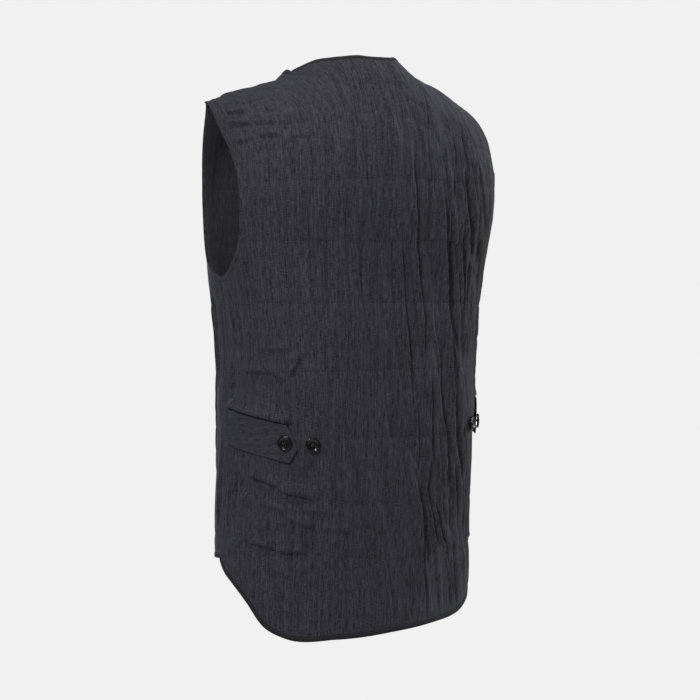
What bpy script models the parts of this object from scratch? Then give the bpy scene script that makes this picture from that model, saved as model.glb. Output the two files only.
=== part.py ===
"""A collarless quilted vest, hollow as when it is worn, with a long curved back, bound edges and buttoned side tabs.

Metres, +Z up. The front faces -Y and the wearer's left is at +X. The origin is midway between the inner ends of the
two shoulder seams. Every piece of cloth is laid out in two lengths: girth, which goes round from the centre back
along the blade line, left positive, and rise, which goes up the cloth from that line, down negative.
"""

from collections import namedtuple
from math import pi

import bmesh
import bpy
import numpy as np
from mathutils import Vector

# ---- driving dimensions ----
CLOTH = 0.0025  # quilted cloth with its thin padding
TAPE = 0.0005  # how far a binding stands proud of each face of its cloth
TAB_CLOTH = 0.0012
SEAM_GAP = 0.0003
SHOULDER_GAP = 0.0006
ARM_GAP = 0.0006  # between an armhole's edge and its band
BIND_WIDTH = 0.0045  # hem, neck and front binding
ARM_BIND_WIDTH = 0.0050
BLADE_HEIGHT = -0.140  # the blade line, from which rise is measured
LEAN_POWER = 1.5  # how soon the section's centre comes forward to the shoulder line, going up
ARCH_POWER = 2.7  # squareness of the shoulder seen from the side
ARCH_NARROWING = 0.025
ARCH_SOFTENING = 0.14
OVERLAP = 0.0152  # each front's cloth past the centre front line, inside its binding
OVERLAP_LIFT = 0.0060  # the left front lies this far over the right one
OVERLAP_RAMP = 0.060
BUTTON_RADIUS = 0.0090
BUTTON_HEIGHT = 0.0030
BUTTON_HOLE = 0.0011
BUTTON_HOLE_OUT = 0.0022
BUTTON_SIDES = 18
BUTTON_STAND = 0.0012  # thread shank between a button and its cloth

# ---- the hollow form: a horizontal section of the vest at each height below the blade line ----
Section = namedtuple("Section", "height half_width back front centre power")
SECTIONS = (
    Section(-0.705, 0.162, 0.104, 0.106, 0.013, 2.30),
    Section(-0.580, 0.163, 0.111, 0.108, 0.015, 2.35),
    Section(-0.420, 0.160, 0.118, 0.112, 0.021, 2.50),
    Section(-0.320, 0.163, 0.120, 0.112, 0.023, 2.50),
    Section(-0.240, 0.173, 0.123, 0.114, 0.022, 2.50),
    Section(BLADE_HEIGHT, 0.187, 0.130, 0.105, 0.026, 2.50),
)

# ---- the shoulder line's height by distance from the centre ----
Ridge = namedtuple("Ridge", "out height")
SHOULDER_LINE = (
    Ridge(0.000, 0.050),
    Ridge(0.025, 0.044),
    Ridge(0.050, 0.022),
    Ridge(0.078, 0.001),
    Ridge(0.105, -0.008),
    Ridge(0.140, -0.018),
    Ridge(0.190, -0.034),
)
RIGHT_FULLNESS = 0.0085  # how much higher the right shoulder stands, at its fullest place
RIGHT_PLACE = -0.088
RIGHT_REACH = 0.030

# ---- the panels' raw edges, in girth and rise; a binding adds its width outside them ----
Edge = namedtuple("Edge", "along girth rise")
SIDE_SEAM = (
    Edge(0.00, 0.2830, -0.4382),
    Edge(0.12, 0.2720, -0.3970),
    Edge(0.24, 0.2630, -0.3580),
    Edge(0.40, 0.2610, -0.3050),
    Edge(1.00, 0.2610, -0.1060),
)
ARMHOLE_BACK = (
    Edge(0.00, 0.2610, -0.1060),
    Edge(0.05, 0.2457, -0.1014),
    Edge(0.11, 0.2268, -0.0859),
    Edge(0.19, 0.2123, -0.0646),
    Edge(0.28, 0.2053, -0.0306),
    Edge(0.38, 0.2053, 0.0049),
    Edge(0.55, 0.2210, 0.0620),
    Edge(0.65, 0.2350, 0.0974),
    Edge(0.75, 0.2448, 0.1362),
    Edge(1.00, 0.2448, 1.0),
)
ARMHOLE_FRONT = (
    Edge(0.00, 0.2610, -0.1060),
    Edge(0.05, 0.2763, -0.1014),
    Edge(0.12, 0.2967, -0.0864),
    Edge(0.20, 0.3122, -0.0618),
    Edge(0.30, 0.3200, -0.0275),
    Edge(0.41, 0.3200, 0.0126),
    Edge(0.57, 0.3125, 0.0712),
    Edge(0.75, 0.3020, 0.1361),
    Edge(0.88, 0.2900, 0.1800),
)
Hem = namedtuple("Hem", "girth rise")
BACK_HEM = (
    Hem(-0.283, -0.4382),
    Hem(-0.240, -0.4592),
    Hem(-0.195, -0.4852),
    Hem(-0.150, -0.5052),
    Hem(-0.080, -0.5180),
    Hem(0.000, -0.5262),
    Hem(0.080, -0.5310),
    Hem(0.150, -0.5287),
    Hem(0.178, -0.5157),
    Hem(0.204, -0.4887),
    Hem(0.238, -0.4654),
    Hem(0.262, -0.4542),
    Hem(0.283, -0.4382),
)
Neck = namedtuple("Neck", "along girth rise")
BACK_NECK = (
    Neck(0.00, 0.0000, 0.1212),
    Neck(0.20, 0.0240, 0.1262),
    Neck(0.40, 0.0428, 0.1414),
    Neck(0.60, 0.0554, 0.1628),
    Neck(0.80, 0.0644, 0.1880),
    Neck(1.00, 0.0808, 1.0),
)
FRONT_HEM_RISE = -0.4452  # at the centre front
NECK_POINT_RISE = -0.0880  # where the front neckline meets the front edge
NECK_BOW = -0.006  # how far the front neckline bows from a straight line

# ---- buttons, tabs ----
FRONT_BUTTONS = 5
TOP_BUTTON_RISE = -0.103
FRONT_BUTTON_STEP = 0.080
# how much higher each tab sits than the left one, and how much sooner its end and its two buttons come
Tab = namedtuple("Tab", "side shift short")
TABS = {"left": Tab(1, 0.0, 0.0), "right": Tab(-1, 0.0220, 0.0400)}
TAB_ROOT_GIRTH = 0.2600
TAB_ROOT_RISE = -0.2612
TAB_SLANT = 0.0187  # drop of the tab over its length
TAB_WIDTH = 0.0435
TAB_STAND = 0.0012  # the tab's clearance to the back
TAB_BULGE = 0.0030  # extra clearance along its upper edge
TAB_END = ((0.0, 0.1568), (0.30, 0.1470), (0.58, 0.1418), (0.80, 0.1465), (1.0, 0.1514))
TAB_BUTTON = (0.1581, -0.3011)
BODY_BUTTON = (0.1214, -0.3034)

# ---- grids ----
SEAM_ROWS = 11
ARMHOLE_ROWS = 11
HEM_SHARE = 0.009  # the row along the hem, as a share of the height
TOP_SHARE = 0.009  # the row along the shoulder line
SIDE_SHARE = 0.027  # the column along each side edge, as a share of the half width
NECK_SHARE = 0.32  # the neck's share of the back's half width
NECK_COLUMNS = 5
SHOULDER_COLUMNS = 8
FRONT_COLUMNS = 10
TAB_COLUMNS = 10
SHARP_ANGLE = 0.7
INWARD = 4  # rows or columns from an armhole's edge to a point well inside the cloth

MATERIALS = {
    # name: colour, roughness
    "quilted_cloth": ((0.036, 0.037, 0.043), 0.85),
    "binding_cloth": ((0.030, 0.031, 0.035), 0.80),
    "tab_cloth": ((0.034, 0.036, 0.041), 0.80),
    "button_black": ((0.006, 0.006, 0.007), 0.18),
}


# ---------------------------------------------------------------- the form
def smooth(rows, column, at):
    """A smooth line through one column of a table, by the table's first column; level at its last row."""
    places = np.array([row[0] for row in rows])
    values = np.array([getattr(row, column) for row in rows])
    slopes = np.gradient(values, places)
    slopes[-1] = 0
    at = np.clip(at, places[0], places[-1])
    low = np.clip(np.searchsorted(places, at, side="right") - 1, 0, len(places) - 2)
    step = places[low + 1] - places[low]
    t = (at - places[low]) / step
    ends = (1 + 2 * t) * (1 - t) ** 2 * values[low] + t * t * (3 - 2 * t) * values[low + 1]
    return ends + t * (1 - t) * step * ((1 - t) * slopes[low] - t * slopes[low + 1])


def shell(turn, low, lift):
    """A point of the form: turn is the angle from centre back, low a height up to the blade line, and lift the
    angle climbed along the shoulder arch, a quarter turn at the shoulder line."""
    half, back, front, centre, power = (smooth(SECTIONS, name, low) for name in Section._fields[1:])
    climbed = np.sin(lift) ** 2
    power = power * (1 - ARCH_SOFTENING * climbed)
    sine, cosine = np.sin(turn), np.cos(turn)
    x = half * np.sign(sine) * np.abs(sine) ** (2 / power) * (1 - ARCH_NARROWING * climbed)
    depth = np.where(cosine > 0, back, -front) * np.abs(cosine) ** (2 / power)
    level = np.clip(np.cos(lift), 0, 1) ** (2 / ARCH_POWER)
    upright = np.sin(lift) ** (2 / ARCH_POWER)
    y = centre * level**LEAN_POWER + depth * level
    fuller = RIGHT_FULLNESS * np.exp(-(((x - RIGHT_PLACE) / RIGHT_REACH) ** 2))
    z = low + (smooth(SHOULDER_LINE, "height", np.abs(x)) + fuller - BLADE_HEIGHT) * upright
    return np.stack([x, y, z], -1)


def length_along(points):
    return np.concatenate([[0.0], np.cumsum(np.linalg.norm(np.diff(points, axis=0), axis=1))])


STEPS = 8001
REFERENCE_TURN = 0.2 * pi  # rise is measured up the cloth halfway across the shoulder blade
TURNS = np.linspace(0, 1.14 * pi, STEPS)
GIRTHS = length_along(shell(TURNS, np.full(STEPS, BLADE_HEIGHT), np.zeros(STEPS)))
LIFTS = np.linspace(0, pi / 2, STEPS)
RISES = length_along(shell(np.full(STEPS, REFERENCE_TURN), np.full(STEPS, BLADE_HEIGHT), LIFTS))
TOP_RISE = RISES[-1]
FRONT_GIRTH = np.interp(pi, TURNS, GIRTHS)


def turn_at(girth):
    return np.sign(girth) * np.interp(np.abs(girth), GIRTHS, TURNS)


def in_front_of(girth):
    """The girth on the front that meets this girth of the back on the shoulder line."""
    return np.interp(pi - turn_at(girth), TURNS, GIRTHS)


def on_form(girth, rise):
    girth, rise = np.broadcast_arrays(np.asarray(girth, float), np.asarray(rise, float))
    low = BLADE_HEIGHT + np.minimum(rise, 0)
    return shell(turn_at(girth), low, np.interp(rise, RISES, LIFTS))


def outward(girth, rise):
    """The form's unit normal, from points 2 mm to each side, or 0.5 mm short of the shoulder line."""
    near = 0.002
    rise = np.minimum(rise, TOP_RISE - 0.0005 - near)
    round_it = on_form(girth + near, rise) - on_form(girth - near, rise)
    up_it = on_form(girth, rise + near) - on_form(girth, rise - near)
    normal = np.cross(up_it, round_it)
    return normal / np.linalg.norm(normal, axis=-1, keepdims=True)


# ---------------------------------------------------------------- meshes
def material(name):
    made = bpy.data.materials.get(name)
    if made is None:
        colour, roughness = MATERIALS[name]
        made = bpy.data.materials.new(name)
        made.use_nodes = True
        shader = made.node_tree.nodes["Principled BSDF"]
        shader.inputs["Base Color"].default_value = (*colour, 1)
        shader.inputs["Roughness"].default_value = roughness
        shader.inputs["Metallic"].default_value = 0
        made.diffuse_color = (*colour, 1)
    return made


def add_object(name, mesh, finish, into):
    mesh.materials.clear()
    mesh.materials.append(material(finish))
    made = bpy.data.objects.new(name, mesh)
    into.objects.link(made)
    return made


def grid_mesh(name, index, points, ends=()):
    """A mesh of triangles from a grid of point numbers, each cell cut along its shorter diagonal, with any end faces."""
    spots = points.reshape(-1, 3)
    low, low_next, high, high_next = index[:-1, :-1], index[:-1, 1:], index[1:, :-1], index[1:, 1:]
    rising = np.stack([low, low_next, high_next, low, high_next, high], -1)
    falling = np.stack([low, low_next, high, low_next, high_next, high], -1)
    rises = np.linalg.norm(spots[high_next] - spots[low], axis=-1)
    falls = np.linalg.norm(spots[high] - spots[low_next], axis=-1)
    faces = np.where((rises < falls)[..., None], rising, falling).reshape(-1, 3).tolist()
    mesh = bpy.data.meshes.new(name)
    mesh.from_pydata(spots.tolist(), [], faces + [list(end) for end in ends])
    return mesh


def sheet(name, points):
    """An open sheet through a grid of points."""
    mesh = grid_mesh(name, np.arange(points.shape[0] * points.shape[1]).reshape(points.shape[:2]), points)
    mesh.shade_smooth()
    return mesh


def tube(name, points, closed):
    """A solid whose sections are the rows of a grid, in a ring or between two end faces."""
    index = np.arange(points.shape[0] * points.shape[1]).reshape(points.shape[:2])
    ends = () if closed else (index[0, ::-1].tolist(), index[-1].tolist())
    index = np.hstack([index, index[:, :1]])
    if closed:
        index = np.vstack([index, index[:1]])
    mesh = grid_mesh(name, index, points, ends)
    solid = bmesh.new()
    solid.from_mesh(mesh)
    bmesh.ops.recalc_face_normals(solid, faces=solid.faces)
    solid.to_mesh(mesh)
    solid.free()
    mesh.shade_smooth()
    mesh.set_sharp_from_angle(angle=SHARP_ANGLE)
    return mesh


def thicken(made, thickness, offset):
    wall = made.modifiers.new("wall", "SOLIDIFY")
    wall.thickness = thickness
    wall.offset = offset
    wall.use_rim = True


def coons(bottom, top, start, end, across, up):
    """A patch between four edges: bottom and top are read at the shares across, start and end at the shares up."""
    u, v = across[None, :, None], up[:, None, None]
    ruled_up = (1 - v) * bottom[None] + v * top[None]
    ruled_across = (1 - u) * start[:, None] + u * end[:, None]
    low = (1 - u) * bottom[0] + u * bottom[-1]
    high = (1 - u) * top[0] + u * top[-1]
    return ruled_up + ruled_across - ((1 - v) * low + v * high)


# ---------------------------------------------------------------- the panels' edges, in girth and rise
def read_edge(rows, shares):
    rise = smooth([row._replace(rise=min(row.rise, TOP_RISE)) for row in rows], "rise", shares)
    return np.stack([smooth(rows, "girth", shares), rise], -1)


def row_shares():
    """Shares of a side edge: one short row at the hem, the seam, the armhole and one short row at the shoulder."""
    seam = np.linspace(HEM_SHARE, 0.5, SEAM_ROWS)
    armhole = np.linspace(0.5, 1 - TOP_SHARE, ARMHOLE_ROWS)[1:]
    return np.concatenate([[0], seam, armhole, [1]])


def side_edge(armhole, shares):
    """The side seam up to the underarm at share 0.5, then the armhole's edge."""
    seam = read_edge(SIDE_SEAM, np.clip(shares * 2, 0, 1))
    hole = read_edge(armhole, np.clip(shares * 2 - 1, 0, 1))
    return np.where((shares <= 0.5)[:, None], seam, hole)


def half_shares():
    """Shares of the back's half width: the neck's columns, the shoulder's, and one narrow one at the side."""
    neck = np.linspace(0, NECK_SHARE, NECK_COLUMNS + 1)
    shoulder = np.linspace(NECK_SHARE, 1 - SIDE_SHARE, SHOULDER_COLUMNS + 1)[1:]
    return np.concatenate([neck, shoulder, [1]])


def back_top(share):
    """The back's top edge: half of the neck curve, then the shoulder seam."""
    neck = read_edge(BACK_NECK, np.clip(share / NECK_SHARE, 0, 1))
    tip = ARMHOLE_BACK[-1].girth
    girth = BACK_NECK[-1].girth + (tip - BACK_NECK[-1].girth) * (share - NECK_SHARE) / (1 - NECK_SHARE)
    seam = np.stack([girth, np.full(len(share), TOP_RISE)], -1)
    return np.where((share <= NECK_SHARE)[:, None], neck, seam)


def back_grid():
    half = half_shares()
    across = np.concatenate([-half[:0:-1], half])
    up = row_shares()
    left = side_edge(ARMHOLE_BACK, up)
    left[:, 0] -= np.where(up <= 0.5, SEAM_GAP / 2, 0)
    right = left * (-1, 1)
    bottom_girth = across * left[0, 0]
    bottom = np.stack([bottom_girth, smooth(BACK_HEM, "rise", bottom_girth)], -1)
    top = back_top(np.abs(across))
    top[:, 0] *= np.sign(across)
    top[:, 1] = np.minimum(top[:, 1], TOP_RISE - SHOULDER_GAP / 2)
    left[0], left[-1] = bottom[-1], top[-1]
    right[0], right[-1] = bottom[0], top[0]
    return coons(bottom, top, right, left, (across + 1) / 2, up)


def front_grid():
    """The left front, from its side edge to its front edge."""
    across = np.concatenate([[0], np.linspace(SIDE_SHARE, 1 - SIDE_SHARE, FRONT_COLUMNS + 1), [1]])
    up = row_shares()
    tip = in_front_of(ARMHOLE_BACK[-1].girth)
    side = side_edge((*ARMHOLE_FRONT, Edge(1.0, tip, 1.0)), up)
    side[:, 0] += np.where(up <= 0.5, SEAM_GAP / 2, 0)
    edge_girth = FRONT_GIRTH + OVERLAP
    neck_girth = in_front_of(BACK_NECK[-1].girth)
    below = np.clip(up * 2, 0, 1)
    above = np.clip(up * 2 - 1, 0, 1)
    girth = edge_girth + (neck_girth - edge_girth) * above + NECK_BOW * np.sin(pi * above)
    rise = FRONT_HEM_RISE + (NECK_POINT_RISE - FRONT_HEM_RISE) * below + (TOP_RISE - NECK_POINT_RISE) * above
    edge = np.stack([girth, rise], -1)
    bottom = side[0] + (edge[0] - side[0]) * across[:, None]
    top = side[-1] + (edge[-1] - side[-1]) * across[:, None]
    top[:, 1] = TOP_RISE - SHOULDER_GAP / 2
    side[-1], edge[-1] = top[0], top[-1]
    return coons(bottom, top, side, edge, across, up)


def lap_lift(girth):
    """How far the left front stands over the right one: level over the lap, gone at the ramp's end."""
    start = FRONT_GIRTH - OVERLAP - OVERLAP_RAMP
    share = np.clip((girth - start) / OVERLAP_RAMP, 0, 1)
    return OVERLAP_LIFT * share * share * (3 - 2 * share)


def lay(grid, lift=0.0):
    """Points on the form at a grid of girth and rise, moved out by lift."""
    girth, rise = grid[..., 0], grid[..., 1]
    return on_form(girth, rise) + outward(girth, rise) * np.broadcast_to(lift, girth.shape)[..., None]


# ---------------------------------------------------------------- bindings
class Cloth:
    """A panel's two faces as grids of points."""

    def __init__(self, made, shape):
        graph = bpy.context.evaluated_depsgraph_get()
        solid = made.evaluated_get(graph).to_mesh()
        count = shape[0] * shape[1]
        spots = [vertex.co.copy() for vertex in solid.vertices]
        self.sides = spots[:count], spots[count : 2 * count]
        self.shape = shape
        made.evaluated_get(graph).to_mesh_clear()

    def at(self, row, column):
        """The outer and inner point of a grid place."""
        place = row * self.shape[1] + column
        return self.sides[0][place], self.sides[1][place]


def bind(name, edge, width, into, gap=SEAM_GAP, closed=False, guides=None):
    """A folded tape sewn edge to edge along a raw edge. Each of its sections is a rectangle that starts a gap
    beyond the cloth's edge, is as deep as width, and stands a little proud of both faces. Guides are the points past
    the two ends of an open tape, which turn its ends to the corner's mitre."""
    count = len(edge)
    rows = []
    for station, (outer, inner, inside) in enumerate(edge):
        first, last = station == 0 and not closed, station == count - 1 and not closed
        before = guides[0] if first else edge[station - 1][0]
        after = guides[1] if last else edge[(station + 1) % count][0]
        came, goes = (outer - before).normalized(), (after - outer).normalized()
        along = (came + goes).normalized()
        turning = (goes - came).normalized()
        stretch = 1 / along.dot(goes) - 1
        thick = (outer - inner).length
        normal = outer - inner
        normal = (normal - along * normal.dot(along)).normalized()
        away = normal.cross(along).normalized()
        if away.dot(inside - outer) > 0:
            away.negate()
        away += turning * (away.dot(turning) * stretch)
        normal += turning * (normal.dot(turning) * stretch)
        shift = SEAM_GAP * (goes * first - came * last)
        near, far = shift + away * gap, shift + away * (gap + width)
        proud, under = normal * TAPE, normal * -(thick + TAPE)
        rows.append((outer + near + proud, outer + far + proud, outer + far + under, outer + near + under))
    points = np.array([[tuple(corner) for corner in row] for row in rows])
    return add_object(name, tube(name, points, closed), "binding_cloth", into)


def edge_of(cloth, picks, inner_picks):
    """Stations of a binding: an edge's outer and inner point, and a point further into the cloth."""
    return [(*cloth.at(*pick), cloth.at(*inner)[0]) for pick, inner in zip(picks, inner_picks)]


def between(first, second):
    return tuple((a + b) / 2 for a, b in zip(first, second))


def joined(first, second):
    """Two runs of stations that meet at a seam, with the seam's two stations made one."""
    return first[:-1] + [between(first[-1], second[0])] + second[1:]


# ---------------------------------------------------------------- buttons and tabs
def button_mesh(cutters):
    """A turned button with a raised rim and four holes, lying on its back at the origin."""
    profile = (
        (0.0, 0.70), (0.62, 0.70), (0.74, 1.0), (0.90, 1.0), (1.0, 0.62), (0.94, 0.15), (0.72, 0.0), (0.0, 0.0),
    )  # fmt: skip
    mesh = bpy.data.meshes.new("button_profile")
    points = [(BUTTON_RADIUS * out, 0, BUTTON_HEIGHT * up) for out, up in profile]
    mesh.from_pydata(points, [(i, i + 1) for i in range(len(points) - 1)], [])
    blank = bpy.data.objects.new("button_blank", mesh)
    cutters.objects.link(blank)
    turned = blank.modifiers.new("turned", "SCREW")
    turned.steps = turned.render_steps = BUTTON_SIDES
    turned.use_merge_vertices = True
    turned.merge_threshold = 0.00005
    turned.use_normal_calculate = True
    drill_mesh = bpy.data.meshes.new("button_drill")
    drill = bmesh.new()
    for corner in range(4):
        turn = pi / 4 + corner * pi / 2
        made = bmesh.ops.create_cone(
            drill, cap_ends=True, segments=8, radius1=BUTTON_HOLE, radius2=BUTTON_HOLE, depth=4 * BUTTON_HEIGHT
        )
        out = Vector((np.cos(turn), np.sin(turn), 0)) * BUTTON_HOLE_OUT
        bmesh.ops.translate(drill, verts=made["verts"], vec=out)
    drill.to_mesh(drill_mesh)
    drill.free()
    cutter = bpy.data.objects.new("button_drill", drill_mesh)
    cutters.objects.link(cutter)
    holes = blank.modifiers.new("holes", "BOOLEAN")
    holes.operation = "DIFFERENCE"
    holes.object = cutter
    bpy.context.view_layer.update()
    graph = bpy.context.evaluated_depsgraph_get()
    finished = bpy.data.meshes.new_from_object(blank.evaluated_get(graph))
    finished.name = "button"
    finished.shade_smooth()
    finished.set_sharp_from_angle(angle=SHARP_ANGLE)
    bpy.data.objects.remove(blank)
    bpy.data.objects.remove(cutter)
    return finished


def place_button(name, mesh, girth, rise, out, into):
    normal = Vector(outward(girth, rise))
    made = add_object(name, mesh, "button_black", into)
    made.location = Vector(on_form(girth, rise)) + normal * out
    made.rotation_euler = normal.to_track_quat("Z", "Y").to_euler()
    return made


def tab(name, side, shift, short, into):
    """A pointed strap from the side seam on to the back, its upper edge standing off the cloth."""
    along = np.linspace(0, 1, TAB_COLUMNS + 1)[:, None]
    down = np.array([row[0] for row in TAB_END])[None, :]
    end = np.array([row[1] for row in TAB_END])[None, :] + short
    girth = TAB_ROOT_GIRTH + (end - TAB_ROOT_GIRTH) * along
    length = (TAB_ROOT_GIRTH - girth) / (TAB_ROOT_GIRTH - TAB_END[0][1])
    rise = TAB_ROOT_RISE + shift - TAB_SLANT * length - TAB_WIDTH * down
    stand = TAB_STAND + TAB_BULGE * (1 - down) * np.sin(pi * along)
    points = lay(np.stack([side * girth, rise], -1), stand)
    mesh = sheet(name, points)
    made = add_object(name, mesh, "tab_cloth", into)
    if mesh.polygons[0].normal.dot(Vector(outward(side * girth[0, 0], rise[0, 0]))) < 0:
        mesh.flip_normals()
    thicken(made, TAB_CLOTH, 1.0)
    return made


# ---------------------------------------------------------------- the vest
def panel(name, grid, lift, into):
    """A wall of quilted cloth on a grid of girth and rise, its outer face on the form."""
    mesh = sheet(name, lay(grid, lift))
    made = add_object(name, mesh, "quilted_cloth", into)
    if mesh.polygons[0].normal.dot(Vector(outward(*grid[0, 0]))) < 0:
        mesh.flip_normals()
    thicken(made, CLOTH, -1.0)
    return made


def run(rows, columns):
    rows, columns = np.broadcast_arrays(rows, columns)
    return list(zip(rows.tolist(), columns.tolist()))


def bind_armhole(side, back, front, back_column, back_inner, into):
    """A ring of tape from the underarm up the back, over the shoulder and down the front. It passes over the short
    row next to the shoulder line."""

    def stations(cloth, column, inner_column):
        top = cloth.shape[0] - 1
        up = np.append(np.arange(SEAM_ROWS, top - 1), top)
        # Near the underarm the cloth lies below the edge, and further up it lies beside it.
        inner = np.where(up < SEAM_ROWS + INWARD, up - INWARD, up)
        return edge_of(cloth, run(up, column), run(inner, inner_column))

    behind = stations(back, back_column, back_inner)
    before = stations(front, 0, INWARD)[::-1]
    ring = joined(behind, before)
    ring = [between(ring[0], ring[-1])] + ring[1:-1]
    bind("armhole_band_" + side, ring, ARM_BIND_WIDTH, into, gap=ARM_GAP, closed=True)


def bind_outer_edges(back, left, right, into):
    """One tape round the whole hem and one up the fronts and round the neck, mitred at the fronts' lower corners."""
    rows, columns = back.shape
    last = left.shape[1] - 1
    across, climb, behind = np.arange(last + 1), np.arange(rows), np.arange(columns)
    hem_right = edge_of(right, run(0, across[::-1]), run(2, across[::-1]))
    hem_back = edge_of(back, run(0, behind), run(2, behind))
    hem_left = edge_of(left, run(0, across), run(2, across))
    hem = joined(joined(hem_right, hem_back), hem_left)
    edge_right = edge_of(right, run(climb, last), run(climb, last - 2))
    edge_left = edge_of(left, run(climb[::-1], last), run(climb[::-1], last - 2))
    middle = (columns - 1) // 2
    neck = np.arange(middle - NECK_COLUMNS, middle + NECK_COLUMNS + 1)
    neck_back = edge_of(back, run(rows - 1, neck), run(rows - 3, neck))
    front_and_neck = joined(joined(edge_right, neck_back), edge_left)
    hem_guides = (front_and_neck[1][0], front_and_neck[-2][0])
    neck_guides = (hem[1][0], hem[-2][0])
    bind("hem_binding", hem, BIND_WIDTH, into, guides=hem_guides)
    bind("neck_front_binding", front_and_neck, BIND_WIDTH, into, guides=neck_guides)


def build():
    for old in list(bpy.data.objects):
        bpy.data.objects.remove(old)
    scene = bpy.context.scene
    vest = bpy.data.collections.new("quilted_vest")
    cutters = bpy.data.collections.new("cutters")
    scene.collection.children.link(vest)
    scene.collection.children.link(cutters)
    cutters.hide_render = True

    back_grid_points, left_grid = back_grid(), front_grid()
    lap = lap_lift(left_grid[..., 0])
    back_panel = panel("back_panel", back_grid_points, 0.0, vest)
    left_panel = panel("front_panel_left", left_grid, lap, vest)
    right_panel = panel("front_panel_right", left_grid * (-1, 1), 0.0, vest)
    bpy.context.view_layer.update()
    back = Cloth(back_panel, back_grid_points.shape[:2])
    left = Cloth(left_panel, left_grid.shape[:2])
    right = Cloth(right_panel, left_grid.shape[:2])
    last = back.shape[1] - 1
    bind_armhole("left", back, left, last, last - INWARD, vest)
    bind_armhole("right", back, right, 0, INWARD, vest)
    bind_outer_edges(back, left, right, vest)

    button = button_mesh(cutters)
    for side, (sign, shift, short) in TABS.items():
        tab("side_tab_" + side, sign, shift, short, vest)
        girth, rise = TAB_BUTTON
        on_tab = TAB_STAND + TAB_BULGE / 2 + TAB_CLOTH + BUTTON_STAND
        place_button("tab_button_" + side, button, sign * (girth + short), rise + shift, on_tab, vest)
        girth, rise = BODY_BUTTON
        place_button("body_button_" + side, button, sign * (girth + short), rise + shift, BUTTON_STAND, vest)
    for number in range(FRONT_BUTTONS):
        rise = TOP_BUTTON_RISE - number * FRONT_BUTTON_STEP
        out = OVERLAP_LIFT + BUTTON_STAND
        place_button(f"front_button_{number + 1}", button, FRONT_GIRTH, rise, out, vest)


if __name__ == "__main__":
    build()
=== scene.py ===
from collections import namedtuple
from math import cos, pi, radians, sin

import bpy
import numpy as np
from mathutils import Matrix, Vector


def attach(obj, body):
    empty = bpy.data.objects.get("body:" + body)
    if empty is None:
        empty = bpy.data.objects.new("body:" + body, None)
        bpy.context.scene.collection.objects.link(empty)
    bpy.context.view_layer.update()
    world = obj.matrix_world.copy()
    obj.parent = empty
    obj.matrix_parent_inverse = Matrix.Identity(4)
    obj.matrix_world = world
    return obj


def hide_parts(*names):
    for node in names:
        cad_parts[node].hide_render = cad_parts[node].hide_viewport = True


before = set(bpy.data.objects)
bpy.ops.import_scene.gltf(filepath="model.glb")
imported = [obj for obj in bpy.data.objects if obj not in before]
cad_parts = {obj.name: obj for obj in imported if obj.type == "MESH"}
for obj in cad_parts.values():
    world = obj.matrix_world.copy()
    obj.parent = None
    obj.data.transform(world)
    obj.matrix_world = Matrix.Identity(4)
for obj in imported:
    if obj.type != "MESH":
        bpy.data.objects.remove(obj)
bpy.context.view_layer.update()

bl_info = {
    "name": "Quilted vest",
    "version": (1, 0, 0),
    "blender": (4, 5, 0),
    "location": "3D view > Sidebar > Quilted vest",
    "description": "Dresses a quilted vest in slubbed cloth, bindings, straps, buttons and stitches",
    "category": "Object",
}

# ---------------------------------------------------------------- sizes and tables of the form, in metres
CLOTH = 0.0025
SHOULDER_GAP = 0.0006
BLADE_HEIGHT = -0.140
LEAN_POWER = 1.5
ARCH_POWER = 2.7
ARCH_NARROWING = 0.025
ARCH_SOFTENING = 0.14
OVERLAP = 0.0152
OVERLAP_LIFT = 0.0060
OVERLAP_RAMP = 0.060
NECK_SHARE = 0.32
BIND_WIDTH = 0.0048
ARM_BIND_WIDTH = 0.0056

Section = namedtuple("Section", "height half_width back front centre power")
SECTIONS = (
    Section(-0.705, 0.162, 0.104, 0.106, 0.013, 2.30),
    Section(-0.580, 0.163, 0.111, 0.108, 0.015, 2.35),
    Section(-0.420, 0.160, 0.118, 0.112, 0.021, 2.50),
    Section(-0.320, 0.163, 0.120, 0.112, 0.023, 2.50),
    Section(-0.240, 0.173, 0.123, 0.114, 0.022, 2.50),
    Section(BLADE_HEIGHT, 0.187, 0.130, 0.105, 0.026, 2.50),
)
Ridge = namedtuple("Ridge", "out height")
SHOULDER_LINE = (
    Ridge(0.000, 0.050),
    Ridge(0.025, 0.044),
    Ridge(0.050, 0.022),
    Ridge(0.078, 0.001),
    Ridge(0.105, -0.008),
    Ridge(0.140, -0.018),
    Ridge(0.190, -0.034),
)
RIGHT_FULLNESS = 0.0085
RIGHT_PLACE = -0.088
RIGHT_REACH = 0.030
Edge = namedtuple("Edge", "along girth rise")
SIDE_SEAM = (
    Edge(0.00, 0.2830, -0.4382),
    Edge(0.12, 0.2720, -0.3970),
    Edge(0.24, 0.2630, -0.3580),
    Edge(0.40, 0.2610, -0.3050),
    Edge(1.00, 0.2610, -0.1060),
)
ARMHOLE_BACK = (
    Edge(0.00, 0.2610, -0.1060),
    Edge(0.05, 0.2457, -0.1014),
    Edge(0.11, 0.2268, -0.0859),
    Edge(0.19, 0.2123, -0.0646),
    Edge(0.28, 0.2053, -0.0306),
    Edge(0.38, 0.2053, 0.0049),
    Edge(0.55, 0.2210, 0.0620),
    Edge(0.65, 0.2350, 0.0974),
    Edge(0.75, 0.2448, 0.1362),
    Edge(1.00, 0.2448, 1.0),
)
ARMHOLE_FRONT = (
    Edge(0.00, 0.2610, -0.1060),
    Edge(0.05, 0.2763, -0.1014),
    Edge(0.12, 0.2967, -0.0864),
    Edge(0.20, 0.3122, -0.0618),
    Edge(0.30, 0.3200, -0.0275),
    Edge(0.41, 0.3200, 0.0126),
    Edge(0.57, 0.3125, 0.0712),
    Edge(0.75, 0.3020, 0.1361),
    Edge(0.88, 0.2900, 0.1800),
)
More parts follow.
